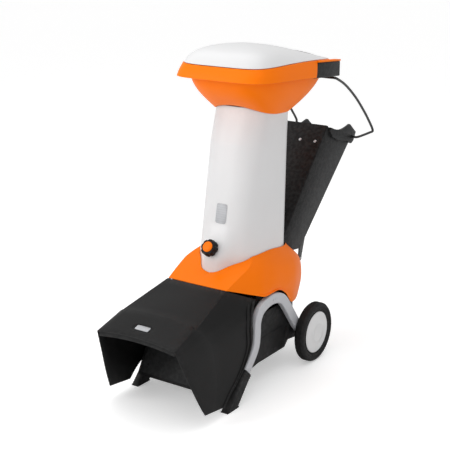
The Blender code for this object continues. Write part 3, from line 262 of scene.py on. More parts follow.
def turned(profile, centre, axis, segments=96):
    """Turn a closed (radius, height) outline about an axis; height runs along the axis."""
    bm = bmesh.new()
    rings = []
    for step in range(segments):
        angle = 2 * math.pi * step / segments
        rings.append([bm.verts.new((r * math.cos(angle), r * math.sin(angle), h)) for r, h in profile])
    count = len(profile)
    for step in range(segments):
        here, there = rings[step], rings[(step + 1) % segments]
        for k in range(count):
            bm.faces.new([here[k], there[k], there[(k + 1) % count], here[(k + 1) % count]])
    bmesh.ops.remove_doubles(bm, verts=bm.verts, dist=WELD)
    bmesh.ops.dissolve_degenerate(bm, dist=1e-7, edges=bm.edges)
    bmesh.ops.recalc_face_normals(bm, faces=bm.faces)
    bmesh.ops.transform(bm, matrix=Matrix.Translation(centre) @ turn_to(axis), verts=bm.verts)
    return bm


def tube(path, radius, sides=16, closed=False):
    """A round tube along a path of points."""
    rings = []
    normal = None
    count = len(path)
    for k in range(count):
        ahead = path[(k + 1) % count] if closed else path[min(k + 1, count - 1)]
        behind = path[k - 1] if closed or k else path[0]
        way = (ahead - behind).normalized()
        if normal is None:
            normal = way.orthogonal().normalized()
        normal = (normal - way * normal.dot(way)).normalized()
        side = way.cross(normal)
        angles = [2 * math.pi * step / sides for step in range(sides)]
        rings.append([path[k] + (normal * math.cos(a) + side * math.sin(a)) * radius for a in angles])
    if closed:
        turns = skin(rings + [rings[0]], loop=True)
        bmesh.ops.remove_doubles(turns, verts=turns.verts, dist=WELD)
        bmesh.ops.recalc_face_normals(turns, faces=turns.faces)
        return turns
    return solid_loft(rings)


# ---------------------------------------------------------------- from meshes to pieces
def placed(name, data):
    """A new object in the scene."""
    made = bpy.data.objects.new(name, data)
    bpy.context.scene.collection.objects.link(made)
    return made


def raw(name, bm, look):
    """An object at the origin from a bmesh in axle coordinates."""
    bmesh.ops.remove_doubles(bm, verts=bm.verts, dist=WELD)
    bmesh.ops.translate(bm, vec=(0, AXLE_Y, 0), verts=bm.verts)
    mesh = bpy.data.meshes.new(name)
    bm.to_mesh(mesh)
    bm.free()
    mesh.materials.append(finish(look))
    return placed(name, mesh)


def baked(made, angle=35):
    """Replace an object's mesh with its evaluated shape and drop its modifiers."""
    bpy.context.view_layer.update()
    shape = bpy.data.meshes.new_from_object(made.evaluated_get(bpy.context.evaluated_depsgraph_get()))
    made.modifiers.clear()
    made.data = shape
    shape.shade_smooth()
    shape.set_sharp_from_angle(angle=math.radians(angle))
    return made


def piece(name, bm, look, body, nodes=(), wall=0.0, cuts=(), joins=(), rounding=0.0, angle=35,
          segments=2):
    """A finished piece: skin, wall, cuts and joins, rounded edges; it rides on a body and replaces nodes."""
    made = raw(name, bm, look)
    if wall:
        step = made.modifiers.new("wall", "SOLIDIFY")
        step.thickness = wall
        step.offset = -1.0
        step.use_even_offset = True
    tools = []
    for operation, shapes in (("DIFFERENCE", cuts), ("UNION", joins)):
        for shape in shapes:
            tool = raw(name + "_tool", shape, look)
            step = made.modifiers.new("shape", "BOOLEAN")
            step.operation = operation
            step.solver = "EXACT"
            step.object = tool
            tools.append(tool)
    if rounding:
        step = made.modifiers.new("rounding", "BEVEL")
        step.width = rounding
        step.segments = segments
        step.limit_method = "ANGLE"
        step.angle_limit = math.radians(38)
        step.use_clamp_overlap = True
    baked(made, angle)
    for tool in tools:
        bpy.data.objects.remove(tool)
    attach(made, body)
    if nodes:
        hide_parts(*nodes)
    return made


def refined(node, look, rounding, name=None, cuts=(), joins=(), angle=35, segments=2):
    """A finished copy of a CAD node: doubles merged, flat faces whole again, edges rounded."""
    bm = bmesh.new()
    bm.from_mesh(frame["nodes"][node].data)
    bmesh.ops.remove_doubles(bm, verts=bm.verts, dist=2e-6)
    bmesh.ops.dissolve_limit(bm, angle_limit=math.radians(0.6), verts=bm.verts, edges=bm.edges)
    bmesh.ops.translate(bm, vec=(0, -AXLE_Y, 0), verts=bm.verts)
    return piece(name or node + "_finished", bm, look, BODY_OF[node], [node], cuts=cuts, joins=joins,
                 rounding=rounding, angle=angle, segments=segments)


# ---------------------------------------------------------------- node tree helpers
def link_chain(tree, *pairs):
    """Link (from socket, to socket) pairs."""
    for start, end in pairs:
        tree.links.new(start, end)


def add(tree, kind, **values):
    """A node with some of its properties set."""
    node = tree.nodes.new(kind)
    for key, value in values.items():
        setattr(node, key, value)
    return node


def feed(tree, socket, value):
    """Link an output to an input, or set the input to a plain value."""
    if isinstance(value, bpy.types.NodeSocket):
        tree.links.new(value, socket)
    else:
        socket.default_value = value


def new_group(name, ins, outs):
    """A shader node group with its sockets; ins are (name, type, default)."""
    group = bpy.data.node_groups.new(name, "ShaderNodeTree")
    for label, kind, default in ins:
        socket = group.interface.new_socket(label, in_out="INPUT", socket_type="NodeSocket" + kind)
        if default is not None:
            socket.default_value = default
    for label, kind in outs:
        group.interface.new_socket(label, in_out="OUTPUT", socket_type="NodeSocket" + kind)
    return group, add(group, "NodeGroupInput"), add(group, "NodeGroupOutput")


def maths(tree, operation, a, b=None, clamp=False):
    """A Math node; a and b are sockets or numbers. Gives the output socket."""
    node = add(tree, "ShaderNodeMath", operation=operation, use_clamp=clamp)
    for socket, value in zip(node.inputs, (a, b)):
        if value is not None:
            feed(tree, socket, value)
    return node.outputs[0]


def noise(tree, vector, scale, detail=3.0, roughness=0.5):
    """A noise texture's value; scale is a socket or a number."""
    node = add(tree, "ShaderNodeTexNoise")
    node.inputs["Detail"].default_value = detail
    node.inputs["Roughness"].default_value = roughness
    tree.links.new(vector, node.inputs["Vector"])
    feed(tree, node.inputs["Scale"], scale)
    return node.outputs["Fac"]


def spread(tree, value, low, high, out_low=0.0, out_high=1.0):
    """Map a value's range to another, clamped."""
    node = add(tree, "ShaderNodeMapRange", clamp=True)
    for spot, setting in zip(("From Min", "From Max", "To Min", "To Max"), (low, high, out_low, out_high)):
        feed(tree, node.inputs[spot], setting)
    tree.links.new(value, node.inputs["Value"])
    return node.outputs["Result"]


def make_grain_group():
    """Moulding texture: a fine pebble grain over a slow flow-like unevenness of the surface."""
    ins = (("Vector", "Vector", None), ("Grain Scale", "Float", 900.0), ("Grain Depth", "Float", 0.4),
           ("Flow", "Float", 0.25))
    group, source, sink = new_group("moulded_grain", ins, (("Height", "Float"), ("Patches", "Float")))
    vector = source.outputs["Vector"]
    pebbles = add(group, "ShaderNodeTexVoronoi", feature="SMOOTH_F1")
    link_chain(group, (vector, pebbles.inputs["Vector"]), (source.outputs["Grain Scale"],
                                                           pebbles.inputs["Scale"]))
    fine = maths(group, "MULTIPLY", pebbles.outputs["Distance"], source.outputs["Grain Depth"])
    flow = maths(group, "MULTIPLY", noise(group, vector, 11.0, 2.0), source.outputs["Flow"])
    link_chain(group, (maths(group, "ADD", fine, flow), sink.inputs["Height"]),
               (spread(group, noise(group, vector, 6.0, 4.0), 0.3, 0.7), sink.inputs["Patches"]))


def make_wear_group():
    """Rubbed edges: a mask on convex edges, broken up by noise."""
    ins = (("Vector", "Vector", None), ("Amount", "Float", 0.5), ("Scale", "Float", 60.0))
    group, source, sink = new_group("rubbed_edges", ins, (("Mask", "Float"),))
    shape = add(group, "ShaderNodeNewGeometry")
    edge = spread(group, shape.outputs["Pointiness"], 0.505, 0.56)
    broken = spread(group, noise(group, source.outputs["Vector"], source.outputs["Scale"], 5.0), 0.40, 0.62)
    worn = maths(group, "MULTIPLY", maths(group, "MULTIPLY", edge, broken), source.outputs["Amount"], True)
    group.links.new(worn, sink.inputs["Mask"])


def make_dust_group():
    """Garden dust: on faces that look up, in hollows, and thicker near the ground."""
    ins = (("Vector", "Vector", None), ("Amount", "Float", 0.3), ("Height", "Float", 0.45))
    group, source, sink = new_group("garden_dust", ins, (("Mask", "Float"),))
    shape = add(group, "ShaderNodeNewGeometry")
    up = add(group, "ShaderNodeSeparateXYZ")
    where = add(group, "ShaderNodeSeparateXYZ")
    link_chain(group, (shape.outputs["Normal"], up.inputs[0]), (source.outputs["Vector"], where.inputs[0]))
    top = spread(group, up.outputs["Z"], 0.1, 1.0)
    low = spread(group, where.outputs["Z"], source.outputs["Height"], 0.0)
    hollow = spread(group, shape.outputs["Pointiness"], 0.50, 0.44)
    speckle = spread(group, noise(group, source.outputs["Vector"], 45.0, 6.0, 0.65), 0.42, 0.72)
    places = maths(group, "ADD", maths(group, "MULTIPLY", top, 0.35), maths(group, "MULTIPLY", low, 0.6))
    places = maths(group, "ADD", places, hollow)
    mask = maths(group, "MULTIPLY", maths(group, "MULTIPLY", places, speckle), source.outputs["Amount"],
                 True)
    group.links.new(mask, sink.inputs["Mask"])


def make_brushed_group():
    """Fine parallel scratches of rolled or turned metal."""
    ins = (("Vector", "Vector", None), ("Scale", "Float", 40.0))
    group, source, sink = new_group("fine_scratches", ins, (("Height", "Float"), ("Mask", "Float")))
    stretch = add(group, "ShaderNodeMapping")
    stretch.inputs["Scale"].default_value = (1.0, 14.0, 14.0)
    group.links.new(source.outputs["Vector"], stretch.inputs["Vector"])
    lines = noise(group, stretch.outputs["Vector"], source.outputs["Scale"], 6.0, 0.6)
    link_chain(group, (lines, sink.inputs["Height"]), (spread(group, lines, 0.35, 0.65),
                                                       sink.inputs["Mask"]))


def use_group(tree, name, vector, **values):
    """Place a shared group in a material, with that material's own values."""
    node = add(tree, "ShaderNodeGroup")
    node.node_tree = bpy.data.node_groups[name]
    tree.links.new(vector, node.inputs["Vector"])
    for key, value in values.items():
        node.inputs[key.replace("_", " ")].default_value = value
    return node


def mixed(tree, mask, base, over):
    """Mix two colours by a mask; base and over are sockets or colours."""
    node = add(tree, "ShaderNodeMix", data_type="RGBA")
    for socket, value in ((node.inputs[6], base), (node.inputs[7], over)):
        feed(tree, socket, value if isinstance(value, bpy.types.NodeSocket) else (*value[:3], 1.0))
    tree.links.new(mask, node.inputs[0])
    return node.outputs[2]


def shaded(colour, amount):
    """A colour made lighter or darker by a factor, at most 1."""
    return tuple(min(channel * amount, 1.0) for channel in colour[:3])


def new_finish(name):
    """An empty material for a finish; its name keeps it apart from the frame's plain materials."""
    look = bpy.data.materials.new(name + "_finish")
    look.use_nodes = True
    return look


def finish(name):
    """The material of a finish that is already made."""
    return bpy.data.materials[name + "_finish"]


def add_relief(tree, shader, height, strength, distance):
    """Fine relief on a shader's surface, from a height output."""
    relief = add(tree, "ShaderNodeBump")
    relief.inputs["Strength"].default_value = strength
    relief.inputs["Distance"].default_value = distance
    link_chain(tree, (height, relief.inputs["Height"]), (relief.outputs["Normal"], shader.inputs["Normal"]))


def moulded(name, colour, roughness, grain=900.0, depth=0.4, flow=0.25, bump=0.05, rub=0.3, dust=0.2,
            coat=0.0, specular=0.5, vary=0.06):
    """A moulded or painted surface: grain, slow colour change, rubbed edges and a little dust."""
    look = new_finish(name)
    tree = look.node_tree
    shader = tree.nodes["Principled BSDF"]
    vector = add(tree, "ShaderNodeTexCoord").outputs["Object"]
    surface = use_group(tree, "moulded_grain", vector, Grain_Scale=grain, Grain_Depth=depth, Flow=flow)
    rubbed = use_group(tree, "rubbed_edges", vector, Amount=rub, Scale=70.0)
    dusty = use_group(tree, "garden_dust", vector, Amount=dust, Height=DUST_HEIGHT)
    plain = mixed(tree, surface.outputs["Patches"], shaded(colour, 1 - vary), shaded(colour, 1 + vary))
    worn = mixed(tree, rubbed.outputs["Mask"], plain, shaded([channel + 0.02 for channel in colour[:3]],
                                                             1.5))
    tree.links.new(mixed(tree, dusty.outputs["Mask"], worn, PLASTIC_DUST), shader.inputs["Base Color"])
    rough = spread(tree, surface.outputs["Patches"], 0.0, 1.0, roughness * 0.88, min(roughness * 1.12, 1.0))
    rough = maths(tree, "ADD", rough, maths(tree, "MULTIPLY", dusty.outputs["Mask"], 0.35), True)
    tree.links.new(rough, shader.inputs["Roughness"])
    add_relief(tree, shader, surface.outputs["Height"], bump, 0.001)
    shader.inputs["Coat Weight"].default_value = coat
    shader.inputs["Coat Roughness"].default_value = 0.18
    shader.inputs["Specular IOR Level"].default_value = specular
    look.diffuse_color = (*colour[:3], 1.0)
    return look


def metal(name, colour, roughness, scale=40.0, bump=0.05):
    """A bright or cast metal with fine scratches, dull patches and a little dust."""
    look = new_finish(name)
    tree = look.node_tree
    shader = tree.nodes["Principled BSDF"]
    vector = add(tree, "ShaderNodeTexCoord").outputs["Object"]
    scratches = use_group(tree, "fine_scratches", vector, Scale=scale)
    surface = use_group(tree, "moulded_grain", vector, Grain_Scale=600.0, Grain_Depth=0.2, Flow=0.1)
    dusty = use_group(tree, "garden_dust", vector, Amount=0.06, Height=DUST_HEIGHT)
    plain = mixed(tree, surface.outputs["Patches"], shaded(colour, 0.86), shaded(colour, 1.06))
    tree.links.new(mixed(tree, dusty.outputs["Mask"], plain, METAL_DUST), shader.inputs["Base Color"])
    rough = spread(tree, scratches.outputs["Mask"], 0.0, 1.0, roughness * 0.75, roughness * 1.3)
    tree.links.new(rough, shader.inputs["Roughness"])
    shader.inputs["Metallic"].default_value = 1.0
    add_relief(tree, shader, scratches.outputs["Height"], bump, 0.0005)
    look.diffuse_color = (*colour[:3], 1.0)


def plate_look(colour):
    """The blank rating plate: satin grey with faint ruled lines."""
    look = moulded("label_plate", colour, 0.38, grain=2000.0, depth=0.1, bump=0.02, rub=0.1, dust=0.05)
    tree = look.node_tree
    shader = tree.nodes["Principled BSDF"]
    before = shader.inputs["Base Color"].links[0].from_socket
    bands = add(tree, "ShaderNodeTexWave", wave_type="BANDS", bands_direction="Z")
    bands.inputs["Scale"].default_value = 34.0
    coordinates = next(node for node in tree.nodes if node.type == "TEX_COORD")
    tree.links.new(coordinates.outputs["Object"], bands.inputs["Vector"])
    lines = spread(tree, bands.outputs["Fac"], 0.90, 0.97, 0.0, 0.35)
    tree.links.new(mixed(tree, lines, before, shaded(colour, 0.6)), shader.inputs["Base Color"])


# ---------------------------------------------------------------- settings
def colour_setting(label, text, default):
    """A colour that the panel shows."""
    return bpy.props.FloatVectorProperty(name=label, description=text, subtype="COLOR", size=3, min=0,
                                         max=1,
                                         default=default)


def length_setting(label, text, default):
    """A length that the panel shows."""
    return bpy.props.FloatProperty(name=label, description=text, default=default, min=0, unit="LENGTH",
                                   precision=4)


class ShredderColours(bpy.types.PropertyGroup):
    """Colours of the finishes."""
    orange: colour_setting("Orange", "Rim, bowl, base cover and knob cap", (1.0, 0.195, 0.0))
    white: colour_setting("White", "Tower, dome and hub caps", (0.74, 0.74, 0.745))
    black: colour_setting("Black", "Grained black plastic", (0.0045, 0.0045, 0.0048))
    dark: colour_setting("Dark grey", "Grained dark grey plastic", (0.0190, 0.0192, 0.0198))
    hood: colour_setting("Hood grey", "The hood's near-black plastic", (0.0055, 0.0055, 0.0057))
    leg: colour_setting("Leg grey", "Powder coat of the legs", (0.50, 0.505, 0.53))
    rubber: colour_setting("Rubber", "Tyres, sleeves and flap", (0.010, 0.010, 0.0105))
    steel: colour_setting("Steel", "Zinc plated parts", (0.62, 0.62, 0.63))
    cast: colour_setting("Aluminium", "Motor housing", (0.48, 0.48, 0.49))
    plate: colour_setting("Plate grey", "Rating plate and capacitor", (0.44, 0.45, 0.47))
    start: colour_setting("Start button", "Start button", (0.02, 0.25, 0.05))
    stop: colour_setting("Stop button", "Stop button", (0.52, 0.015, 0.012))
    floor: colour_setting("Floor", "Studio floor", (0.95, 0.95, 0.95))


class ShredderSizes(bpy.types.PropertyGroup):
    """Sizes of the finer details."""
    rounding: length_setting("Edge rounding", "Radius on moulded edges", 0.0012)
    screw_radius: length_setting("Screw head radius", "Seam and bracket screws", 0.0034)
    screw_height: length_setting("Screw head height", "How far a seam screw's head stands out", 0.0012)
    hood_crown: length_setting("Hood crown", "Rise of the hood's front edge in its middle", 0.0160)
    hood_ledge: length_setting("Hood ledge", "Extra height of the hood's raised front panel", 0.0075)
    fender_lip: length_setting("Fender lip", "How far the cover's lip stands out over the leg arch", 0.0060)
    tread_groove: length_setting("Tread groove", "Depth of the grooves round a tyre", 0.0022)
    lamp_size: length_setting("Lamp size", "Side of the main studio lamp", 3.2)


def colours():
    """The colour settings of this scene."""
    return bpy.context.scene.shredder_colours


def sizes():
    """The size settings of this scene."""
    return bpy.context.scene.shredder_sizes


# ---------------------------------------------------------------- shape of the shells
def tower_front(z):
    """Front line of the tower without its toe; upright at its foot."""
    if z > 0.975:
        return -0.2975 + (z - 0.975) * 0.36
    return -0.2975 - (0.975 - max(z, TOWER_UPRIGHT)) * 0.200


def toe_reach(z):
    """How far the toe under the knob stands out."""
    return TOE_REACH * smooth_step(0.0, 1.0, (TOE_TOP - z) / TOE_SLOPE)


def tower_ring(z, grow=0.0, rear_grow=None, flat=False):
    """Plan of the tower at one height, with the toe added on its front."""
    front = tower_front(z) - grow
    rear = TOWER_REAR + (grow if rear_grow is None else rear_grow)
    row = []
    for p in oval(TOWER_HALF + grow, front, rear, z, 2.9):
        if p.y < (front + rear) / 2:
            p.y -= toe_reach(z) * math.exp(-(p.x / TOE_HALF) ** 4)
        if flat:
            p.z += TOWER_BOTTOM_RISE * (p.y - front) / (rear - front)
        row.append(p)
    return row


def along(low, top, z):
    """The point at height z on a line of the chute."""
    share = (z - low[1]) / (top[1] - low[1])
    return (low[0] + share * (top[0] - low[0]), z)


def inward(low, top, depth, point):
    """Move a point of the front line into the chute, square to that line."""
    y, z = top[0] - low[0], top[1] - low[1]
    size = math.hypot(y, z)
    return (point[0] + depth * z / size, point[1] - depth * y / size)


def from_front(depth, z):
    """The chute's point at height z on its front line, moved into the chute."""
    return inward(CHUTE_FRONT_LOW, CHUTE_FRONT_TOP, depth, along(CHUTE_FRONT_LOW, CHUTE_FRONT_TOP, z))


def chute_prism(grow, z_low):
    """The chute's outer form, grown all round, as a cutter."""
    low_front = along(CHUTE_FRONT_LOW, CHUTE_FRONT_TOP, z_low)
    low_rear = along(CHUTE_REAR_LOW, CHUTE_REAR_TOP, z_low)
    outline = [(low_front[0] - grow * 1.3, low_front[1]),
               (CHUTE_FRONT_TOP[0] - grow * 1.3, CHUTE_FRONT_TOP[1]),
               (CHUTE_REAR_TOP[0] + grow * 1.5, CHUTE_REAR_TOP[1]), (low_rear[0] + grow * 1.5, low_rear[1])]
    return slab(outline, -CHUTE_HALF - grow, CHUTE_HALF + grow)


def bowl_ring(share, inset=0.0):
    """A ring of the bowl's wall, from its foot round the tower (0) to its top (1)."""
    half, front, rear = BOWL_PLAN
    sweep = 1 - (1 - share) ** BOWL_SWEEP
    rear_sweep = 1 - (1 - share) ** (BOWL_SWEEP + 0.5)
    foot_half = TOWER_HALF + 0.0045
    foot_front = tower_front(BOWL_FOOT) - 0.013
    foot_rear = TOWER_REAR + 0.0045
    dip = BOWL_DIP * (1 - share) ** 2
    return oval(foot_half + (half - foot_half) * sweep - inset,
                foot_front + (front - foot_front) * sweep + inset,
                foot_rear + (rear - foot_rear) * rear_sweep - inset,
                BOWL_FOOT + share * (BOWL_TOP - BOWL_FOOT), 3.0 + 0.6 * share, RING, dip, dip / 2)


def rim_row(plan, grow, height, rise=RIM_ARCH, fall=RIM_TOP_FALL, power=RIM_POWER):
    """A ring of the rim, whose edge arches on its way to the rear and falls; grow widens its plan."""
    half, front, rear = plan
    row = oval(half + grow, front - grow, rear + grow, 0.0, power)
    for p in row:
        share = (p.y - front + grow) / (rear - front + 2 * grow)
        p.z = height + 4 * rise * share * (1 - share) - fall * share * (1 + share) / 2
    return row


def box_room(deeper):
    """The switch box's side outline, grown by the gap and by more at the bottom and the rear."""
    front_low, rear_low, rear_top, front_top = BOX_CORNERS
    outline = [(front_low[0] - GAP, front_low[1] - GAP), (front_low[0] - GAP, front_low[1] - GAP - deeper),
               (rear_low[0] + 0.05, rear_low[1] - GAP - deeper), (rear_top[0] + 0.05, rear_top[1] + GAP),
               (rear_top[0], rear_top[1] + GAP), (front_top[0] - GAP, front_top[1] + GAP)]
    return slab(outline, BOX_INNER - GAP, BOX_OUTER + 0.05)


def lerp_rows(a, b, share):
    """A row between two others."""
    return [p.lerp(q, share) for p, q in zip(a, b)]


COVER_FRONT = [
    [(0, HOOD_EDGE[0] + HOOD_GAP, 0.4478), (0.070, HOOD_EDGE[0] + HOOD_GAP, 0.4480),
     (0.141, HOOD_EDGE[0] + HOOD_GAP + 0.001, 0.4482)],
    [(0, -0.478, 0.462), (0.070, -0.472, 0.466), (0.149, -0.436, 0.482)],
    [(0, -0.450, 0.470), (0.070, -0.440, 0.481), (0.150, -0.366, 0.508)],
    [(0, -0.412, 0.482), (0.045, -0.405, 0.497), (0.116, -0.287, 0.540)]]
COVER_SIDE = [
    [(0.2045, -0.3950, 0.4030), (0.2175, -0.360, 0.393), (0.2175, -0.310, 0.3925), (0.2155, -0.255, 0.390),
     (0.2125, -0.200, 0.360), (0.204, -0.125, 0.295), (0.170, -0.020, 0.290), (0.105, 0.065, 0.290),
     (0, 0.082, 0.290)],
    [(0.194, -0.368, 0.455), (0.208, -0.315, 0.436), (0.2135, -0.270, 0.424), (0.214, -0.215, 0.408),
     (0.212, -0.150, 0.390), (0.201, -0.080, 0.375), (0.168, 0.012, 0.370), (0.104, 0.088, 0.370),
     (0, 0.102, 0.370)],
    [(0.174, -0.312, 0.498), (0.184, -0.272, 0.489), (0.189, -0.235, 0.481), (0.191, -0.185, 0.470),
     (0.189, -0.120, 0.458), (0.178, -0.055, 0.450), (0.150, 0.015, 0.445), (0.100, 0.070, 0.440),
     (0, 0.086, 0.440)],
    [(0.121, -0.255, 0.545), (0.124, -0.225, 0.547), (0.126, -0.190, 0.546), (0.127, -0.145, 0.540),
     (0.126, -0.100, 0.530), (0.120, -0.055, 0.519), (0.103, -0.020, 0.510), (0.062, -0.008, 0.505),
     (0, -0.006, 0.503)]]


def cover_ring(level):
    """One closed ring of the cover, from the hood edge round the leg arch to the rear."""
    front = spline(COVER_FRONT[level], 8)
    side = spline([COVER_FRONT[level][-1]] + COVER_SIDE[level], 8)
    return closed_ring(front[:-1] + side)


def cover_skin():
    """The base cover's outer sheet, with a lip over each leg arch and a crease down each shoulder."""
    rings = [cover_ring(level) for level in range(4)]
    columns = [spline(column, 10) for column in zip(*rings)]
    rows = [list(row) for row in zip(*columns)]
    lip_rows = []
    for share, stand in ((0.0, 0.75), (0.05, 1.0), (0.20, 1.0), (0.27, 0.85), (0.31, 0.25), (0.35, 0.0)):
        row = lerp_rows(rows[0], rows[4], share * 2.5 / 2)
        for p in row:
            window = smooth_step(-0.405, -0.375, p.y) * (1 - smooth_step(-0.19, -0.13, p.y))
            side = smooth_step(0.17, 0.20, abs(p.x))
            p.x += math.copysign(sizes().fender_lip * stand * window * side, p.x)
        lip_rows.append(row)
    return skin(lip_rows + rows[3:], loop=True)


HOOD_ROWS = [
    [(0, *HOOD_EDGE), (0.141, HOOD_EDGE[0], HOOD_EDGE[1] + 0.0005), (0.205, -0.4070, 0.3915),
     (0.2235, -0.4560, 0.3350), (0.2280, -0.4600, 0.2340), (0.2300, -0.5030, 0.1640),
     (0.2325, -0.5650, 0.1130), (0.2340, -0.6320, 0.0700), (0.2350, -0.6680, 0.0360)],
    [(0, -0.7700, 0.3790), (0.178, -0.7700, 0.3790), (0.1920, -0.7350, 0.3480), (0.2030, -0.7080, 0.2950),
     (0.2100, -0.6950, 0.2250), (0.2170, -0.6950, 0.1700), (0.2240, -0.7050, 0.1180),
     (0.2300, -0.7200, 0.0780), (0.2350, -0.7300, 0.0440)],
    [(0, -0.7760, 0.3810), (0.1782, -0.7760, 0.3810), (0.1922, -0.7420, 0.3490), (0.2031, -0.7150, 0.2955),
     (0.2101, -0.7010, 0.2255), (0.2171, -0.7010, 0.1705), (0.2241, -0.7100, 0.1185),
     (0.2300, -0.7240, 0.0785), (0.2350, -0.7330, 0.0445)],
    [(0, HOOD_FRONT, 0.3380), (0.1850, HOOD_FRONT, 0.3380), (0.1910, -0.8990, 0.3050),
     (0.1990, -0.8780, 0.2500), (0.2080, -0.8580, 0.2000), (0.2160, -0.8400, 0.1550),
     (0.2230, -0.8230, 0.1150), (0.2290, -0.8070, 0.0800), (0.2350, -0.7930, 0.0520)]]
HOOD_TOP_STEPS = 10


def hood_half(index):
    """The +X half of one hood row: crowned top panel, then the side down to its lower edge."""
    points = [Vector(point) for point in HOOD_ROWS[index]]
    crown = sizes().hood_crown * (0.0, 0.75, 0.75, 1.0)[index]
    ledge = sizes().hood_ledge if index == 2 else 0.0
    top = straight(points[:2], HOOD_TOP_STEPS)
    for p in top:
        share = p.x / points[1].x
        p.z += crown * (1 - share ** 2) + ledge * (1 - smooth_step(0.90, 1.0, share))
    side = straight(points[1:3], 3)[:-1] + spline(points[2:], 3)
    return top[:-1] + side


def hood_rows():
    """All rows of the hood from its rear edge to its mouth."""
    halves = [hood_half(index) for index in range(4)]
    full = [mirrored(half) for half in halves]
    rows = [lerp_rows(full[0], full[1], step / 6) for step in range(6)]
    rows += [full[1], lerp_rows(full[1], full[2], 0.5)]
    rows += [lerp_rows(full[2], full[3], step / 5) for step in range(6)]
    return rows


def hood_line(share, outward=0.0):
    """A line on the hood's +X side, between its rear edge (0) and the ledge (1), from top to bottom."""
    row = lerp_rows(hood_half(0), hood_half(1), share)[HOOD_TOP_STEPS + 1:]
    return [Vector((p.x + outward, p.y, p.z)) for p in row]


def on_hood_top(x, y):
    """Height of the hood's raised front panel over a point."""
    share = (y - HOOD_ROWS[2][0][1]) / (HOOD_FRONT - HOOD_ROWS[2][0][1])
    start = HOOD_ROWS[2][0][2] + sizes().hood_ledge + sizes().hood_crown * 0.75 * (1 - (x / 0.178) ** 2)
    end = HOOD_ROWS[3][0][2] + sizes().hood_crown * (1 - (x / 0.185) ** 2)
    return start + (end - start) * share


def leg_section(point, along_leg, width, thick, side, corner=0.005):
    """A rectangular section with round corners, square to the leg's path."""
    across = Vector((0, -along_leg.z, along_leg.y))
    row = []
    for u_sign, v_sign, start in ((1, 1, 0), (-1, 1, 90), (-1, -1, 180), (1, -1, 270)):
        for angle in range(start, start + 91, 30):
            u = u_sign * (width / 2 - corner) + corner * math.cos(math.radians(angle))
            v = v_sign * (thick / 2 - corner) + corner * math.sin(math.radians(angle))
            row.append(Vector((side * (point.x + v), point.y, point.z)) + across * u)
    return row


def leg_loft(side):
    """The arched leg as a smooth bent band."""
    path = spline(LEG_PATH, 6)
    rows = []
    for k, point in enumerate(path):
        way = path[min(k + 1, len(path) - 1)] - path[max(k - 1, 0)]
        rows.append(leg_section(point, Vector((0, way.y, way.z)).normalized(), LEG_BAND, LEG_THICK, side))
    return solid_loft(rows)


# ---------------------------------------------------------------- screws by geometry nodes
def screw_tree():
    """A node tree that puts a screw head on every point, along its facing, with a dark disc in its middle
    that paints the shade of the drive recess.
    """
    tree = bpy.data.node_groups.new("screw_heads", "GeometryNodeTree")
    for label, kind in (("Geometry", "Geometry"), ("Head Radius", "Float"), ("Head Height", "Float"),
                        ("Head Finish", "Material"), ("Recess Painted Shade", "Material")):
        tree.interface.new_socket(label, in_out="INPUT", socket_type="NodeSocket" + kind)
    tree.interface.new_socket("Geometry", in_out="OUTPUT", socket_type="NodeSocketGeometry")
    source, sink = add(tree, "NodeGroupInput"), add(tree, "NodeGroupOutput")
    facing = add(tree, "GeometryNodeInputNamedAttribute", data_type="FLOAT_VECTOR")
    facing.inputs["Name"].default_value = "facing"
    turn = add(tree, "FunctionNodeAlignRotationToVector", axis="Z")
    tree.links.new(facing.outputs["Attribute"], turn.inputs["Vector"])
    heads = add(tree, "GeometryNodeJoinGeometry")
    # the second cone is a dark disc standing just proud of the head top: painted shade for the hollow of the
    # drive recess
    for radius_share, top_share, height_share, finish, sides in ((1.0, 0.78, 1.0, "Head Finish", 20),
                                                                 (0.42, 0.42, 1.12, "Recess Painted Shade", 6)):
        cone = add(tree, "GeometryNodeMeshCone")
        cone.inputs["Vertices"].default_value = sides
        for spot, share in (("Radius Top", top_share), ("Radius Bottom", radius_share)):
            link_chain(tree, (maths(tree, "MULTIPLY", source.outputs["Head Radius"], share),
                              cone.inputs[spot]))
        depth = maths(tree, "MULTIPLY", source.outputs["Head Height"], height_share)
        painted = add(tree, "GeometryNodeSetMaterial")
        link_chain(tree, (depth, cone.inputs["Depth"]), (cone.outputs["Mesh"], painted.inputs["Geometry"]),
                   (source.outputs[finish], painted.inputs["Material"]),
                   (painted.outputs["Geometry"], heads.inputs["Geometry"]))
    spots = add(tree, "GeometryNodeInstanceOnPoints")
    real = add(tree, "GeometryNodeRealizeInstances")
    link_chain(tree, (source.outputs["Geometry"], spots.inputs["Points"]),
               (heads.outputs["Geometry"], spots.inputs["Instance"]),
               (turn.outputs["Rotation"], spots.inputs["Rotation"]),
               (spots.outputs["Instances"], real.inputs["Geometry"]),
               (real.outputs["Geometry"], sink.inputs["Geometry"]))
    return tree


def screws(name, spots, body, radius, height, head="steel", recess="black_plastic"):
    """Screw heads at (place, facing) spots, as one plain mesh riding on a body; recess is the colour of the
    disc that paints the shade in each head's drive recess.
    """
    mesh = bpy.data.meshes.new(name)
    mesh.from_pydata([Vector(place) + Vector((0, AXLE_Y, 0)) for place, facing in spots], [], [])
    facing = mesh.attributes.new("facing", "FLOAT_VECTOR", "POINT")
    for value, (place, way) in zip(facing.data, spots):
        value.vector = Vector(way).normalized()
    made = placed(name, mesh)
    step = made.modifiers.new("heads", "NODES")
    step.node_group = bpy.data.node_groups.get("screw_heads") or screw_tree()
    # the recess colour goes to the disc that paints the shade of the drive recess
    values = {"Head Radius": radius, "Head Height": height, "Head Finish": finish(head),
              "Recess Painted Shade": finish(recess)}
    for item in step.node_group.interface.items_tree:
        if item.name in values:
            step[item.identifier] = values[item.name]
    baked(made)
    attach(made, body)


# ---------------------------------------------------------------- operators
class Builder:
    """What every operator of this file shares."""
    bl_options = {"REGISTER", "UNDO"}

    def execute(self, context):
        self.build(context)
        return {"FINISHED"}


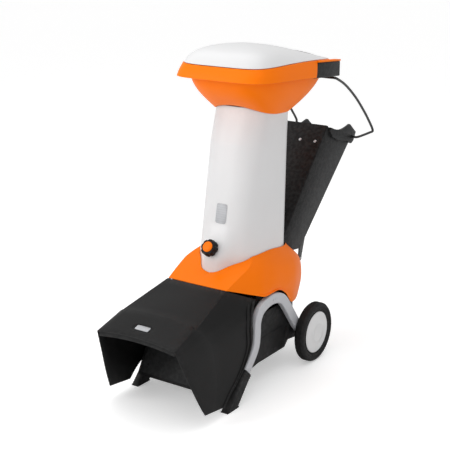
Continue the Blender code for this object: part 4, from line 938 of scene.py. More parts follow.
class SHREDDER_OT_finishes(Builder, bpy.types.Operator):
    """Make the shared node groups and every finish"""
    bl_idname = "shredder.finishes"
    bl_label = "Finishes"

    def build(self, context):
        make_grain_group()
        make_wear_group()
        make_dust_group()
        make_brushed_group()
        c = colours()
        moulded("orange_cover", c.orange, 0.40, grain=1500, depth=0.15, flow=0.5, bump=0.04, rub=0.06,
                dust=0.03, specular=0.12, vary=0.015)
        moulded("white_shell", c.white, 0.34, grain=1500, depth=0.15, flow=0.5, bump=0.04, rub=0.05,
                dust=0.04, coat=0.10, specular=0.35, vary=0.012)
        moulded("black_plastic", c.black, 0.46, grain=1100, depth=0.9, flow=0.2, bump=0.22, rub=0.35,
                dust=0.015, specular=0.18, vary=0.08)
        moulded("dark_plastic", c.dark, 0.44, grain=1100, depth=0.9, flow=0.2, bump=0.20, rub=0.35,
                dust=0.015, specular=0.18, vary=0.08)
        moulded("hood_plastic", c.hood, 0.42, grain=1000, depth=1.0, flow=0.2, bump=0.24, rub=0.40,
                dust=0.015, specular=0.18, vary=0.08)
        moulded("leg_paint", c.leg, 0.33, grain=1300, depth=0.6, flow=0.4, bump=0.10, rub=0.10, dust=0.02,
                coat=0.2, vary=0.03)
        moulded("tyre_rubber", c.rubber, 0.66, grain=800, depth=1.0, flow=0.4, bump=0.30, rub=0.5,
                dust=0.05,
                specular=0.2, vary=0.10)
        moulded("sleeve_rubber", c.rubber, 0.60, grain=900, depth=1.0, flow=0.3, bump=0.28, rub=0.4,
                dust=0.04,
                specular=0.2, vary=0.10)
        moulded("black_steel", shaded(c.black, 1.2), 0.30, grain=1500, depth=0.3, flow=0.3, bump=0.06,
                rub=0.3, dust=0.06, coat=0.3, vary=0.08)
        moulded("green_button", c.start, 0.30, rub=0.1, dust=0.02, coat=0.3)
        moulded("red_button", c.stop, 0.30, rub=0.1, dust=0.02, coat=0.3)
        metal("steel", c.steel, 0.30)
        metal("motor_casting", c.cast, 0.50, scale=14.0, bump=0.15)
        plate_look(c.plate)


class SHREDDER_OT_hopper(Builder, bpy.types.Operator):
    """Build the bowl, its rim and the dome over it"""
    bl_idname = "shredder.hopper"
    bl_label = "Hopper"

    def build(self, context):
        shares = [step / 16 for step in range(17)]
        bowl = tube_wall([bowl_ring(share) for share in shares],
                         [bowl_ring(share, SHELL) for share in shares])
        piece("bowl_shell", bowl, "orange_cover", "feed_unit", ["hopper_bowl"], cuts=[box_room(0.0005)])
        low = rim_row(SKIRT_PLAN, 0.0, SKIRT_Z, 0.003, SKIRT_FALL)
        high = rim_row(RIM_PLAN, 0.001, RIM_TOP - 0.003)
        rows = [rim_row(SKIRT_PLAN, -0.0015, SKIRT_Z, 0.003, SKIRT_FALL)]
        for step in range(9):
            share = step / 8
            row = lerp_rows(low, high, share)
            bulge = RIM_BULGE * math.sin(math.pi * share)
            for p in row:
                p.x += math.copysign(bulge, p.x) * smooth_step(0.05, 0.15, abs(p.x))
                p.y += math.copysign(bulge, p.y - RIM_MIDDLE) * smooth_step(0.05, 0.20,
                                                                            abs(p.y - RIM_MIDDLE))
                p.z += 0.0008 * (1 - smooth_step(0.0, 0.1, share))
            rows.append(row)
        rows += [rim_row(RIM_PLAN, 0.0005, RIM_TOP - 0.0015), rim_row(RIM_PLAN, -0.0010, RIM_TOP - 0.0004),
                 rim_row(RIM_PLAN, -0.0025, RIM_TOP), rim_row(RIM_PLAN, -0.0175, RIM_TOP, power=HOOK_POWER),
                 rim_row(RIM_PLAN, -0.0192, RIM_TOP - 0.0008, power=HOOK_POWER),
                 rim_row(RIM_PLAN, -0.020, RIM_TOP - 0.0030, power=HOOK_POWER),
                 rim_row(RIM_PLAN, -0.020, RIM_TOP - 0.025, power=HOOK_POWER)]
        piece("rim_band", skin(rows, loop=True), "orange_cover", "feed_unit", ["hopper_rim"], wall=SHELL,
              cuts=[box_room(0.030)], angle=50)
        self.brow()
        self.dome()

    def brow(self):
        """The narrow orange roof over the switch box."""
        front, rear = (BOX_CORNERS[3][0] - 0.004, BOX_CORNERS[3][1]), (RIM_PLAN[2] - 0.004,
                                                                       BOX_CORNERS[2][1])
        outline = [(front[0], front[1] + 0.0009), (rear[0], rear[1] + 0.0004), (rear[0], rear[1] + 0.0070),
                   (front[0], front[1] + 0.0085)]
        piece("rim_brow", slab(outline, 0.2005, BOX_OUTER + 0.0015), "orange_cover", "feed_unit",
              rounding=0.0018)

    def dome(self):
        """The white lid and the edging round its opening."""
        rows = []
        for step in range(DOME_RINGS + 1):
            share = 1.0 - (step / DOME_RINGS) ** 1.4 * (1 - DOME_TIP_SHARE)
            row = rim_row(RIM_PLAN, -0.0035, RIM_TOP + DOME_WALL + GAP)
            level = max(p.z for p in row)
            for p in row:
                p.z = level + (p.z - level) * smooth_step(0.05, 0.75, share)
                back = (p.y - RIM_PLAN[1]) / (RIM_PLAN[2] - RIM_PLAN[1])
                edge_power = DOME_STEEP + (DOME_SHALLOW - DOME_STEEP) * back
                steep = DOME_CROWN_POWER + (edge_power - DOME_CROWN_POWER) * share
                p.x *= share
                p.y = DOME_CROWN_Y + (p.y - DOME_CROWN_Y) * share
                p.z += DOME_RISE * (1 - share ** steep)
            rows.append(row)
        crown = skin(rows, loop=True)
        inner = [e for e in crown.edges if e.is_boundary
                 and all((v.co.xy - Vector((0, DOME_CROWN_Y))).length < 0.03 for v in e.verts)]
        top = bmesh.ops.holes_fill(crown, edges=inner, sides=0)["faces"]
        tip = bmesh.ops.poke(crown, faces=top)["verts"][0]
        tip.co.z += DOME_RISE * DOME_TIP_SHARE ** DOME_CROWN_POWER
        half, front, rear = DOME_OPENING
        middle_y = (front + rear) / 2
        mouth = oval(half, front, rear, 0.0, 4.0, 80)
        cutter = solid_loft([[Vector((p.x, p.y, z)) for p in mouth] for z in (1.20, 1.45)])
        lid = piece("dome_lid", crown, "white_shell", "feed_unit", ["dome_cover"], wall=DOME_WALL,
                    cuts=[cutter], angle=45)
        edging = []
        for p in oval(half - 0.0008, front + 0.0008, rear - 0.0008, 0.0, 4.0, 80):
            start = Vector((p.x * 1.012, (p.y - middle_y) * 1.02 + middle_y + AXLE_Y, 1.6))
            hit, spot = lid.ray_cast(start, Vector((0, 0, -1)))[:2]
            if not hit:
                raise RuntimeError("the edging finds no dome under it")
            edging.append(Vector((p.x, p.y, spot.z - 0.0012)))
        piece("mouth_edging", tube(edging, 0.0026, 12, closed=True), "black_plastic", "feed_unit")


class SHREDDER_OT_switch(Builder, bpy.types.Operator):
    """Build the switch box with its buttons and inlet"""
    bl_idname = "shredder.switch"
    bl_label = "Switch box"

    def build(self, context):
        refined("switch_box", "dark_plastic", 0.0, angle=30)
        face_z = (BOX_CORNERS[1][1] + BOX_CORNERS[2][1]) / 2
        half_x, half_z = 0.0175, 0.0275
        outline = oval(half_x, -half_z, half_z, 0.0, 4.5, 48)
        rows = []
        for grow, depth in ((0.0, 0.0), (0.0, 0.0010), (-0.0008, 0.0018)):
            rows.append([Vector((BUTTONS_X + p.x * (1 + grow / half_x), BOX_REAR + GAP + depth,
                                 face_z + p.y * (1 + grow / half_z))) for p in outline])
        wells = [rod((BUTTONS_X, BOX_REAR - 0.01, z), (BUTTONS_X, BOX_REAR + 0.01, z), 0.0117)
                 for z in (face_z + 0.0145, face_z - 0.0145)]
        piece("switch_plate", solid_loft(rows), "black_plastic", "feed_unit", cuts=wells)
        for node, look in (("start_button", "green_button"), ("stop_button", "red_button")):
            z = middle(node, 2)
            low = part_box(node)[0].y - AXLE_Y
            profile = [(0.0, 0.0), (0.011, 0.0), (0.011, 0.0096), (0.0104, 0.0112), (0.0090, 0.0120),
                       (0.0060, 0.0114), (0.0, 0.0110)]
            piece(node + "_cap", turned(profile, (0.196, low, z), (0, 1, 0), 48), look, BODY_OF[node],
                  [node])
        refined("mains_inlet", "black_plastic", 0.0006, angle=30)
        pins = [((INLET_X + x, BOX_REAR + 0.012, face_z + z), (0, 1, 0))
                for x, z in ((-0.0045, 0.002), (0.0045, 0.002), (0, -0.005))]
        screws("inlet_pins", pins, "feed_unit", 0.0018, 0.0120, recess="steel")
        corners = [((x, BOX_REAR + 0.0004, z), (0, 1, 0)) for x in (0.130, 0.220) for z in (1.2135, 1.2605)]
        screws("switch_box_screws", corners, "feed_unit", 0.0028, 0.0010, "black_steel")


class SHREDDER_OT_tower(Builder, bpy.types.Operator):
    """Build the tower, its rating plate and the locking knob"""
    bl_idname = "shredder.tower"
    bl_label = "Tower and knob"

    def build(self, context):
        levels = [TOWER_BOTTOM + 0.055 + step * 0.011 for step in range(15)]
        levels += [0.72, 0.80, 0.88, 0.95, 0.965, 0.975, 0.985, 1.0, 1.05, TOWER_TOP]
        outer = [tower_ring(TOWER_BOTTOM, flat=True)] + [tower_ring(z) for z in levels]
        inner = [tower_ring(TOWER_BOTTOM, -SHELL, flat=True)] + [tower_ring(z, -SHELL) for z in levels]
        piece("tower_shell", tube_wall(outer, inner), "white_shell", "feed_unit", ["tower"],
              cuts=[chute_prism(0.0015, 0.40)], angle=50)
        low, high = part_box("tower_label")
        plate = []
        for grow, lift in ((0.0, 0.0), (0.0, 0.0006), (-0.0005, 0.0010)):
            row = []
            for p in oval((high.x - low.x) / 2 + grow, low.z - grow, high.z + grow, 0.0, 8.0, 64):
                face = tower_front(p.y) - GAP - lift
                row.append(Vector(((low.x + high.x) / 2 + p.x, face, p.y)))
            plate.append(row)
        piece("rating_plate", solid_loft(plate), "label_plate", "feed_unit", ["tower_label"])
        self.knob()

    def knob(self):
        """The fluted grip and its orange cap."""
        axis = Vector((0, -math.sin(KNOB_TILT), math.cos(KNOB_TILT)))
        seat = Vector((0, tower_front(KNOB_SEAT_Z) - toe_reach(KNOB_SEAT_Z), KNOB_SEAT_Z)) + axis * 0.0025
        rows = []
        heights = ((0.0, 0.88), (0.0012, 0.94), (0.004, 0.985), (0.010, 1.0), (KNOB_HEIGHT - 0.006, 0.97),
                   (KNOB_HEIGHT - 0.0025, 0.945), (KNOB_HEIGHT - 0.0008, 0.91), (KNOB_HEIGHT, 0.86))
        for height, scale in heights:
            row = []
            for step in range(KNOB_POINTS):
                angle = 2 * math.pi * step / KNOB_POINTS
                flute = max(0.0, -math.cos(KNOB_FLUTES * angle)) ** 0.7
                radius = (KNOB_R - 0.0004 - 0.0034 * flute) * scale
                row.append(Vector((radius * math.cos(angle), radius * math.sin(angle), height)))
            rows.append(row)
        grip = solid_loft(rows)
        bmesh.ops.transform(grip, matrix=Matrix.Translation(seat) @ turn_to(axis), verts=grip.verts)
        piece("knob_fluted_grip", grip, "black_plastic", "locking_knob", ["knob_grip"], angle=45)
        cap = [(0.0, 0.0), (0.0215, 0.0), (0.0217, 0.0022), (0.0212, 0.0034), (0.0200, 0.0042),
               (0.0165, 0.0052),
               (0.0158, 0.0047), (0.0150, 0.0047), (0.0143, 0.0055), (0.0, 0.0066)]
        piece("knob_orange_cap", turned(cap, seat + axis * (KNOB_HEIGHT + GAP), axis), "orange_cover",
              "locking_knob", ["knob_cap"])


class SHREDDER_OT_chute(Builder, bpy.types.Operator):
    """Build the branch chute, its collar plates, flap, strip and screws"""
    bl_idname = "shredder.chute"
    bl_label = "Branch chute"

    def build(self, context):
        rounding = sizes().rounding
        front_low = from_front(0.0, CHUTE_BOTTOM + 0.045)
        seam_top = from_front(CHUTE_SEAM_DEPTH, CHUTE_FRONT_TOP[1])
        seam_low = inward(CHUTE_FRONT_LOW, CHUTE_FRONT_TOP, CHUTE_SEAM_DEPTH, front_low)
        rows = []
        bend = 0.003
        for edge, back in ((seam_low, front_low), (seam_top, CHUTE_FRONT_TOP)):
            towards = Vector((0, edge[0] - back[0], edge[1] - back[1])).normalized()
            corner = Vector((CHUTE_HALF, *back))
            arc = [corner + towards * bend * (1 - math.sin(a)) + Vector((-bend * (1 - math.cos(a)), 0, 0))
                   for a in (0.0, math.pi / 6, math.pi / 3, math.pi / 2)]
            half = [Vector((0, *back))] + list(reversed(arc)) + [Vector((CHUTE_HALF, *edge))]
            rows.append(mirrored(half))
        shell = skin(rows)
        bmesh.ops.reverse_faces(shell, faces=shell.faces)
        piece("chute_front", shell, "black_plastic", "feed_unit", ["chute_front_shell"], wall=CHUTE_WALL,
              angle=40)
        refined("chute_rear_shell", "dark_plastic", rounding * 0.6)
        for label, sign in SIDES:
            refined("collar_" + label, "dark_plastic", 0.0018)
            self.flange(label, sign)
        for label in ("left", "middle", "right"):
            node = "flap_screw_" + label
            place = Vector([middle(node, axis) for axis in range(3)]) - Vector((0, AXLE_Y, 0))
            way = Vector((0, CHUTE_FRONT_LOW[1] - CHUTE_FRONT_TOP[1],
                          CHUTE_FRONT_TOP[0] - CHUTE_FRONT_LOW[0]))
            head = [(0.0, -0.0016), (0.0075, -0.0016), (0.0075, -0.0008), (0.0058, 0.0012),
                    (0.0030, 0.0020),
                    (0.0028, 0.0009), (0.0, 0.0009)]
            piece("bright_screw_" + label, turned(head, place, way, 32), "steel", "feed_unit", [node])
        refined("flap_strip", "steel", 0.0003)
        refined("chute_flap", "sleeve_rubber", 0.0006)
        self.seam_screws()

    def flange(self, label, sign):
        """The folded edge of the side plate along the chute's front, with its slim bead."""
        x = sign * (CHUTE_HALF + 0.0006)
        bead = [Vector((x, *from_front(0.0045, z))) for z in (0.545, 0.72, 0.94)]
        piece("chute_bead_" + label, tube(bead, 0.0012, 10), "dark_plastic", "feed_unit")
        strip = [from_front(CHUTE_SEAM_DEPTH + 0.0005, 0.600), from_front(CHUTE_SEAM_DEPTH + 0.0005, 0.925),
                 from_front(CHUTE_SEAM_DEPTH + 0.0030, 0.925), from_front(CHUTE_SEAM_DEPTH + 0.0030, 0.600)]
        piece("chute_seam_" + label, side_slab(strip, sign, CHUTE_HALF, CHUTE_HALF + 0.0011),
              "black_plastic",
              "feed_unit", rounding=0.0003)

    def seam_screws(self):
        """Paired screws down the seam on both sides."""
        spots = []
        for sign in (1, -1):
            for z, pair in ((0.915, 1), (0.832, 2), (0.752, 2), (0.672, 2), (0.592, 1)):
                for step in range(pair):
                    place = from_front(CHUTE_SEAM_DEPTH - 0.0075, z - step * 0.013)
                    spots.append(((sign * (CHUTE_HALF + 0.0005), *place), (sign, 0, 0)))
        screws("chute_seam_screws", spots, "feed_unit", sizes().screw_radius, sizes().screw_height,
               "black_steel")


class SHREDDER_OT_bail(Builder, bpy.types.Operator):
    """Build the bail handle from its bent tube"""
    bl_idname = "shredder.bail"
    bl_label = "Bail handle"

    def build(self, context):
        half = [(CHUTE_HALF + 0.003, 0.527, 0.878), (0.125, 0.527, 0.878), (0.145, 0.529, 0.8785),
                (0.170, 0.545, 0.889), (0.190, 0.562, 0.899), (BAIL_HALF, *BAIL_CORNER),
                (BAIL_HALF, 0.566, 0.920), (BAIL_HALF, 0.535, 0.955), (BAIL_HALF, 0.485, 1.006),
                (BAIL_HALF, 0.395, 1.085), (BAIL_HALF, 0.301, 1.150), (BAIL_HALF, 0.226, 1.186),
                (0.190, 0.212, 1.192), (0.165, 0.209, 1.193)]
        right = [(-x, y, z) for x, y, z in half]
        path = spline(right + list(reversed(half)), 6)
        piece("bail_tube", tube(path, BAIL_R, 20), "black_steel", "feed_unit", ["bail_handle"])


class SHREDDER_OT_base_cover(Builder, bpy.types.Operator):
    """Build the orange base cover"""
    bl_idname = "shredder.base_cover"
    bl_label = "Base cover"

    def build(self, context):
        levels = [0.40, TOWER_BOTTOM] + [0.515 + step * 0.02 for step in range(8)] + [0.80]
        seat = solid_loft([tower_ring(z, COVER_CLEARANCE, TILT_CLEARANCE) for z in levels])
        notch = [(-0.05, 0.420), (-0.05, 0.62), (0.16, 0.62), (0.16, 0.420)]
        piece("base_shell", cover_skin(), "orange_cover", "base", ["base_cover"], wall=SHELL,
              cuts=[seat, slab(notch, -CHUTE_HALF - 0.004, CHUTE_HALF + 0.004)], angle=16)


class SHREDDER_OT_hood(Builder, bpy.types.Operator):
    """Build the discharge hood with its panel, plate recess, ridges and hinge eyes"""
    bl_idname = "shredder.hood"
    bl_label = "Discharge hood"

    def build(self, context):
        shell = skin(hood_rows())
        bmesh.ops.reverse_faces(shell, faces=shell.faces)
        py, pz = HOOD_PIVOT
        notches = [box((sign * 0.1172, py - 0.006, pz - 0.010), (sign * 0.1248, py + 0.010, pz + 0.012))
                   for sign in (1, -1)]
        plate_x, plate_y = HOOD_PLATE
        slope = (on_hood_top(0, -0.90) - on_hood_top(0, -0.80)) / -0.10
        rows = []
        for half_x, half_y, lift in ((0.0470, 0.0190, -0.0016), (0.0490, 0.0210, 0.012)):
            ring = oval(half_x, -half_y, half_y, 0.0, 2.4, 64)
            spots = [(plate_x + p.x, plate_y + p.y) for p in ring]
            rows.append([Vector((x, y, on_hood_top(x, y) + lift)) for x, y in spots])
        piece("hood_shell", shell, "hood_plastic", "hood", ["discharge_hood"], wall=HOOD_WALL,
              cuts=notches + [solid_loft(rows)], rounding=0.0010, angle=30)
        plate = []
        for grow, lift in ((0.0, -0.0015), (0.0, -0.0004), (-0.0006, 0.0)):
            ring = oval(0.031 + grow, -0.0115 - grow, 0.0115 + grow, 0.0, 9.0, 48)
            plate.append([Vector((plate_x + p.x, plate_y + p.y,
                                  on_hood_top(0, plate_y) + slope * p.y + lift))
                          for p in ring])
        piece("hood_blank_plate", solid_loft(plate), "label_plate", "hood")
        self.ridges()
        self.mouth_lip()
        self.knuckles()

    def ridges(self):
        """Two moulded ridges along each side's rear edge, and one along the shoulder crease."""
        for label, sign in SIDES:
            for number, share in enumerate((0.055, 0.150), 1):
                path = [Vector((sign * p.x, p.y, p.z)) for p in hood_line(share, 0.0004)[2:]]
                piece(f"hood_ridge_{label}_{number}", tube(spline(path[::2], 4), 0.0036, 14),
                      "hood_plastic",
                      "hood")
            crease = []
            for step in range(7):
                p = hood_half(0)[HOOD_TOP_STEPS].lerp(hood_half(1)[HOOD_TOP_STEPS], 0.03 + step / 6 * 0.96)
                crease.append(Vector((sign * (p.x - 0.0006), p.y, p.z - 0.0008)))
            piece("hood_crease_" + label, tube(crease, 0.0015, 10), "hood_plastic", "hood")

    def mouth_lip(self):
        """The turned-down lip behind the hood's front edge."""
        rows = []
        for depth, drop in ((0.010, 0.004), (0.010, 0.026), (0.0065, 0.026), (0.0065, 0.004)):
            row = []
            for step in range(21):
                x = -0.180 + step * 0.018
                row.append(Vector((x, HOOD_FRONT + depth, on_hood_top(x, HOOD_FRONT + depth) - drop)))
            rows.append(row)
        piece("hood_mouth_lip", solid_loft(list(zip(*rows))), "hood_plastic", "hood", rounding=0.0008)

    def knuckles(self):
        """Barrels under the rear edge that turn on the hinge pins."""
        py, pz = HOOD_PIVOT
        bar = [(py - 0.022, pz - 0.0078), (py - 0.022, pz - 0.0033)]
        bar += [(py + KNUCKLE_R * math.cos(math.radians(a)), pz + KNUCKLE_R * math.sin(math.radians(a)))
                for a in range(75, -91, -15)]
        for label, sign in SIDES:
            for spot, low in (("inner", 0.109), ("outer", 0.1248)):
                piece(f"hood_knuckle_{label}_{spot}", side_slab(bar, sign, low, low + 0.0082),
                      "hood_plastic",
                      "hood", rounding=0.0004)
            refined("hood_bracket_" + label, "black_steel", 0.0003)


class SHREDDER_OT_housing(Builder, bpy.types.Operator):
    """Build the lower housing, the chip ramp and their screws"""
    bl_idname = "shredder.housing"
    bl_label = "Lower housing"

    def build(self, context):
        refined("lower_housing", "black_plastic", 0.0020)
        refined("chip_ramp", "dark_plastic", 0.0006)
        for label, sign in SIDES:
            wing = [(-0.6540, 0.0620), (-0.5210, 0.3030), (-0.4900, 0.3030), (-0.4900, 0.1500),
                    (-0.5800, 0.0620)]
            piece("ramp_wing_" + label, side_slab(wing, sign, 0.1890, 0.2035), "black_plastic", "base",
                  rounding=0.0012)
        low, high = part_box("chip_ramp")
        low_y, high_y = low.y - AXLE_Y, high.y - AXLE_Y
        spots = []
        for x in (-0.165, 0.165):
            for share in (0.14, 0.50, 0.86):
                spots.append(((x, low_y + (high_y - 0.003 - low_y) * share - 0.0002,
                               low.z + (high.z - low.z) * share), (0, -0.87, 0.49)))
        screws("ramp_screws", spots, "base", 0.0045, 0.0018, "black_steel")
        seams = []
        for label, sign in SIDES:
            for y, z in ((-0.215, 0.285), (-0.155, 0.272), (-0.330, 0.290), (-0.240, 0.120),
                         (-0.300, 0.118)):
                for step in range(2):
                    seams.append(((sign * 0.1904, y + 0.010 * step, z - 0.002 * step), (sign, 0, 0)))
            rib = [(-0.455, 0.1980), (-0.120, 0.1980), (-0.120, 0.2010), (-0.455, 0.2010)]
            piece("housing_seam_" + label, side_slab(rib, sign, 0.1895, 0.1912), "black_plastic", "base",
                  rounding=0.0005)
        screws("housing_screws", seams, "base", sizes().screw_radius, sizes().screw_height, "black_steel")


class SHREDDER_OT_legs(Builder, bpy.types.Operator):
    """Build the arched legs and their rubber sleeves"""
    bl_idname = "shredder.legs"
    bl_label = "Legs"

    def build(self, context):
        for label, sign in SIDES:
            eye = rod((sign * (LEG_EYE_X - LEG_THICK / 2), 0, AXLE_Z),
                      (sign * (LEG_EYE_X + LEG_THICK / 2), 0, AXLE_Z), LEG_EYE_R)
            hole = rod((sign * 0.15, 0, AXLE_Z), (sign * 0.23, 0, AXLE_Z), LEG_HOLE_R)
            ground = box((sign * 0.22 - 0.05, -0.75, -0.05), (sign * 0.22 + 0.05, -0.40, 0.0044))
            slots = []
            for y in (-0.3060, -0.2940):
                outline = oval(0.0013, -0.0055, 0.0055, 0.0, 3.0, 20)
                slots.append(solid_loft([[Vector((sign * x, y + p.x, 0.362 + p.y)) for p in outline]
                                         for x in (0.2245, 0.235)]))
            piece("leg_band_" + label, leg_loft(sign), "leg_paint", "base", ["leg_" + label],
                  cuts=[ground, hole] + slots, joins=[eye], angle=40)
            refined("foot_sleeve_" + label, "sleeve_rubber", 0.0016)
            self.sleeve_rings(label, sign)
        bolts = [((sign * 0.2275, -0.0001, 0.1291), (sign, 0, 0)) for sign in (1, -1)]
        screws("leg_eye_washers", bolts, "base", 0.0115, 0.0020, "steel", "black_steel")

    def sleeve_rings(self, label, sign):
        """Raised bands round the top of the rubber sleeve."""
        foot, knee = Vector(LEG_PATH[0]), Vector(LEG_PATH[2])
        way = (knee - foot).normalized()
        flat_way = Vector((0, way.y, way.z)).normalized()
        wide, thick = LEG_BAND + 0.0098, LEG_THICK + 0.0098
        for number, distance in enumerate((0.144, 0.136), 1):
            centre = foot + way * distance
            rows = []
            for shift, grow in ((-0.0028, 0.0), (-0.0018, 0.0016), (0.0018, 0.0016), (0.0028, 0.0)):
                rows.append(leg_section(centre + way * shift, flat_way, wide + grow, thick + grow, sign))
            rows_in = [leg_section(centre + way * shift, flat_way, wide - 0.002, thick - 0.002, sign)
                       for shift in (-0.0028, -0.001, 0.001, 0.0028)]
            piece(f"sleeve_band_{label}_{number}", tube_wall(rows, rows_in), "sleeve_rubber", "base")


class SHREDDER_OT_wheels(Builder, bpy.types.Operator):
    """Build tyres, wheel bodies, hub caps and the axle ends"""
    bl_idname = "shredder.wheels"
    bl_label = "Wheels"

    def build(self, context):
        for label, sign in SIDES:
            self.wheel(label, sign)
            refined("axle_cap_" + label, "steel", 0.0005)

    def tyre_profile(self):
        """Half-round shoulders, side rings and grooved tread, as (radius, height) points."""
        r, w, deep = WHEEL_R, WHEEL_WIDTH, sizes().tread_groove
        seat = WHEEL_BODY_R + GAP
        side = [(seat, 0.006), (seat + 0.003, 0.0042), (0.1075, 0.0030), (0.1085, 0.0038), (0.1098, 0.0038),
                (0.1108, 0.0016), (r - 0.013, 0.0002), (r - 0.0085, 0.0012), (r - 0.0045, 0.0038),
                (r - 0.0018, 0.0072)]
        tread = [(r, 0.0110)]
        for middle_height in (0.0160, 0.0230, 0.0300):
            tread += [(r, middle_height - 0.0022), (r - deep, middle_height - 0.0014),
                      (r - deep, middle_height + 0.0014), (r, middle_height + 0.0022)]
        tread += [(r, w - 0.0110)]
        return side + tread + [(radius, w - height) for radius, height in reversed(side)]

    def wheel(self, label, sign):
        """One wheel: tyre, body, domed cap with an embossed ring."""
        body = label + "_wheel"
        inner = (sign * (TRACK_OUTER - WHEEL_WIDTH), 0, AXLE_Z)
        out = (sign, 0, 0)
        w, rim = WHEEL_WIDTH, HUB_CAP_R
        piece("tyre_tread_" + label, turned(self.tyre_profile(), inner, out, 144), "tyre_rubber", body,
              ["tyre_" + label], angle=40)
        refined("wheel_body_" + label, "black_plastic", 0.0008)
        cap = [(rim, w - 0.006), (rim, w - 0.0135), (rim - 0.004, w - 0.0135), (rim - 0.006, w - 0.009),
               (0.060, w - 0.004), (0.0, w - 0.001), (0.0, w + 0.0010)]
        face = [(0.036, 0.0006), (0.0375, 0.0014), (0.0395, 0.0014), (0.0410, 0.0004), (0.060, -0.0012),
                (0.072, -0.0022), (0.080, -0.0034), (0.0865, -0.0044), (rim - 0.0008, -0.0054)]
        cap += [(radius, w + height) for radius, height in face]
        piece("hub_disc_" + label, turned(cap, inner, out, 128), "white_shell", body, ["hub_cap_" + label],
              angle=30)
        lip_r = rim + 0.0042
        ring = [Vector((sign * (TRACK_OUTER - 0.0060), lip_r * math.cos(math.radians(a)),
                        AXLE_Z + lip_r * math.sin(math.radians(a)))) for a in range(0, 360, 4)]
        piece("wheel_lip_" + label, tube(ring, 0.0016, 10, closed=True), "black_plastic", body)


class SHREDDER_OT_machinery(Builder, bpy.types.Operator):
    """Give every CAD piece that still shows its own finish"""
    bl_idname = "shredder.machinery"
    bl_label = "Machinery"

    def build(self, context):
        for name, node in frame["nodes"].items():
            if node.hide_render:
                continue
            node.data.materials.clear()
            node.data.materials.append(finish(SLOT_OF[name]))


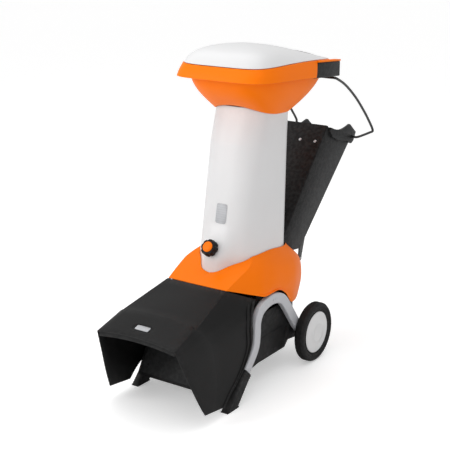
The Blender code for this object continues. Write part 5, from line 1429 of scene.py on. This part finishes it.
class SHREDDER_OT_stage(Builder, bpy.types.Operator):
    """Set up the camera, the floor and the soft studio light"""
    bl_idname = "shredder.stage"
    bl_label = "Studio"

    def build(self, context):
        scene = context.scene
        camera = placed("camera", bpy.data.cameras.new("camera"))
        camera.data.lens = CAMERA_LENS
        camera.data.sensor_width = CAMERA_SENSOR
        camera.location = CAMERA_PLACE
        camera.rotation_euler = (math.pi / 2 - CAMERA_DOWN, 0.0, CAMERA_TURN)
        scene.camera = camera
        self.floor()
        self.lamps(scene)

    def floor(self):
        """A wide pale floor with a faint unevenness in its sheen."""
        look = new_finish("floor")
        tree = look.node_tree
        shader = tree.nodes["Principled BSDF"]
        vector = add(tree, "ShaderNodeTexCoord").outputs["Object"]
        tone = mixed(tree, noise(tree, vector, 3.0), colours().floor, shaded(colours().floor, 1.01))
        tree.links.new(tone, shader.inputs["Base Color"])
        tree.links.new(spread(tree, noise(tree, vector, 8.0), 0.3, 0.7, 0.55, 0.65),
                       shader.inputs["Roughness"])
        seen = add(tree, "ShaderNodeLightPath").outputs["Is Camera Ray"]
        tree.links.new(spread(tree, seen, 0.0, 1.0, 0.0, FLOOR_GLOW), shader.inputs["Emission Strength"])
        shader.inputs["Emission Color"].default_value = (1.0, 1.0, 1.0, 1.0)
        mesh = bpy.data.meshes.new("floor")
        half = FLOOR_HALF
        corners = [(-half, -half, 0), (half, -half, 0), (half, half, 0), (-half, half, 0)]
        mesh.from_pydata(corners, [], [(0, 1, 2, 3)])
        mesh.materials.append(look)
        ground = placed("floor", mesh)

    def lamps(self, scene):
        """A big overhead lamp, a key from the left and a weak fill from the right."""
        for name, place, size, power in (("overhead", (-0.4, -0.3, 3.6), sizes().lamp_size, 34.0),
                                         ("key", (-2.2, -3.0, 2.2), 2.2, 52.0),
                                         ("fill", (3.4, -1.6, 1.8), 2.0, 10.0)):
            data = bpy.data.lights.new(name, "AREA")
            data.size = size
            data.energy = power
            lamp = placed(name, data)
            lamp.location = place
            way = Vector(LAMP_AIM) - lamp.location
            lamp.rotation_euler = way.to_track_quat("-Z", "Y").to_euler()
        world = bpy.data.worlds.new("studio")
        world.use_nodes = True
        tree = world.node_tree
        seen = add(tree, "ShaderNodeLightPath").outputs["Is Camera Ray"]
        sky = tree.nodes["Background"]
        sky.inputs["Color"].default_value = (1.0, 1.0, 1.0, 1.0)
        tree.links.new(spread(tree, seen, 0.0, 1.0, SKY_LIGHT, SKY_SEEN), sky.inputs["Strength"])
        scene.world = world
        scene.view_settings.view_transform = "Standard"


OPERATORS = (SHREDDER_OT_finishes, SHREDDER_OT_stage, SHREDDER_OT_hopper, SHREDDER_OT_switch,
             SHREDDER_OT_tower, SHREDDER_OT_chute, SHREDDER_OT_bail, SHREDDER_OT_base_cover,
             SHREDDER_OT_hood,
             SHREDDER_OT_housing, SHREDDER_OT_legs, SHREDDER_OT_wheels, SHREDDER_OT_machinery)


class SHREDDER_PT_panel(bpy.types.Panel):
    """Lists the builders and the settings"""
    bl_label = "Garden shredder"
    bl_idname = "SHREDDER_PT_panel"
    bl_space_type = "VIEW_3D"
    bl_region_type = "UI"
    bl_category = "Shredder"

    def draw(self, context):
        for operator in OPERATORS:
            self.layout.operator(operator.bl_idname)
        for settings in (context.scene.shredder_sizes, context.scene.shredder_colours):
            for key in settings.bl_rna.properties.keys():
                if key not in ("rna_type", "name"):
                    self.layout.prop(settings, key)


CLASSES = (ShredderColours, ShredderSizes) + OPERATORS + (SHREDDER_PT_panel,)


def register():
    """Register the classes and hang the settings on the scene."""
    for cls in CLASSES:
        bpy.utils.register_class(cls)
    bpy.types.Scene.shredder_colours = bpy.props.PointerProperty(type=ShredderColours)
    bpy.types.Scene.shredder_sizes = bpy.props.PointerProperty(type=ShredderSizes)


def unregister():
    """Take the settings and the classes away again."""
    del bpy.types.Scene.shredder_sizes
    del bpy.types.Scene.shredder_colours
    for cls in reversed(CLASSES):
        bpy.utils.unregister_class(cls)


def main():
    """Build everything in order."""
    register()
    for operator in OPERATORS:
        group, name = operator.bl_idname.split(".")
        getattr(getattr(bpy.ops, group), name)()


if __name__ == "__main__":
    main()
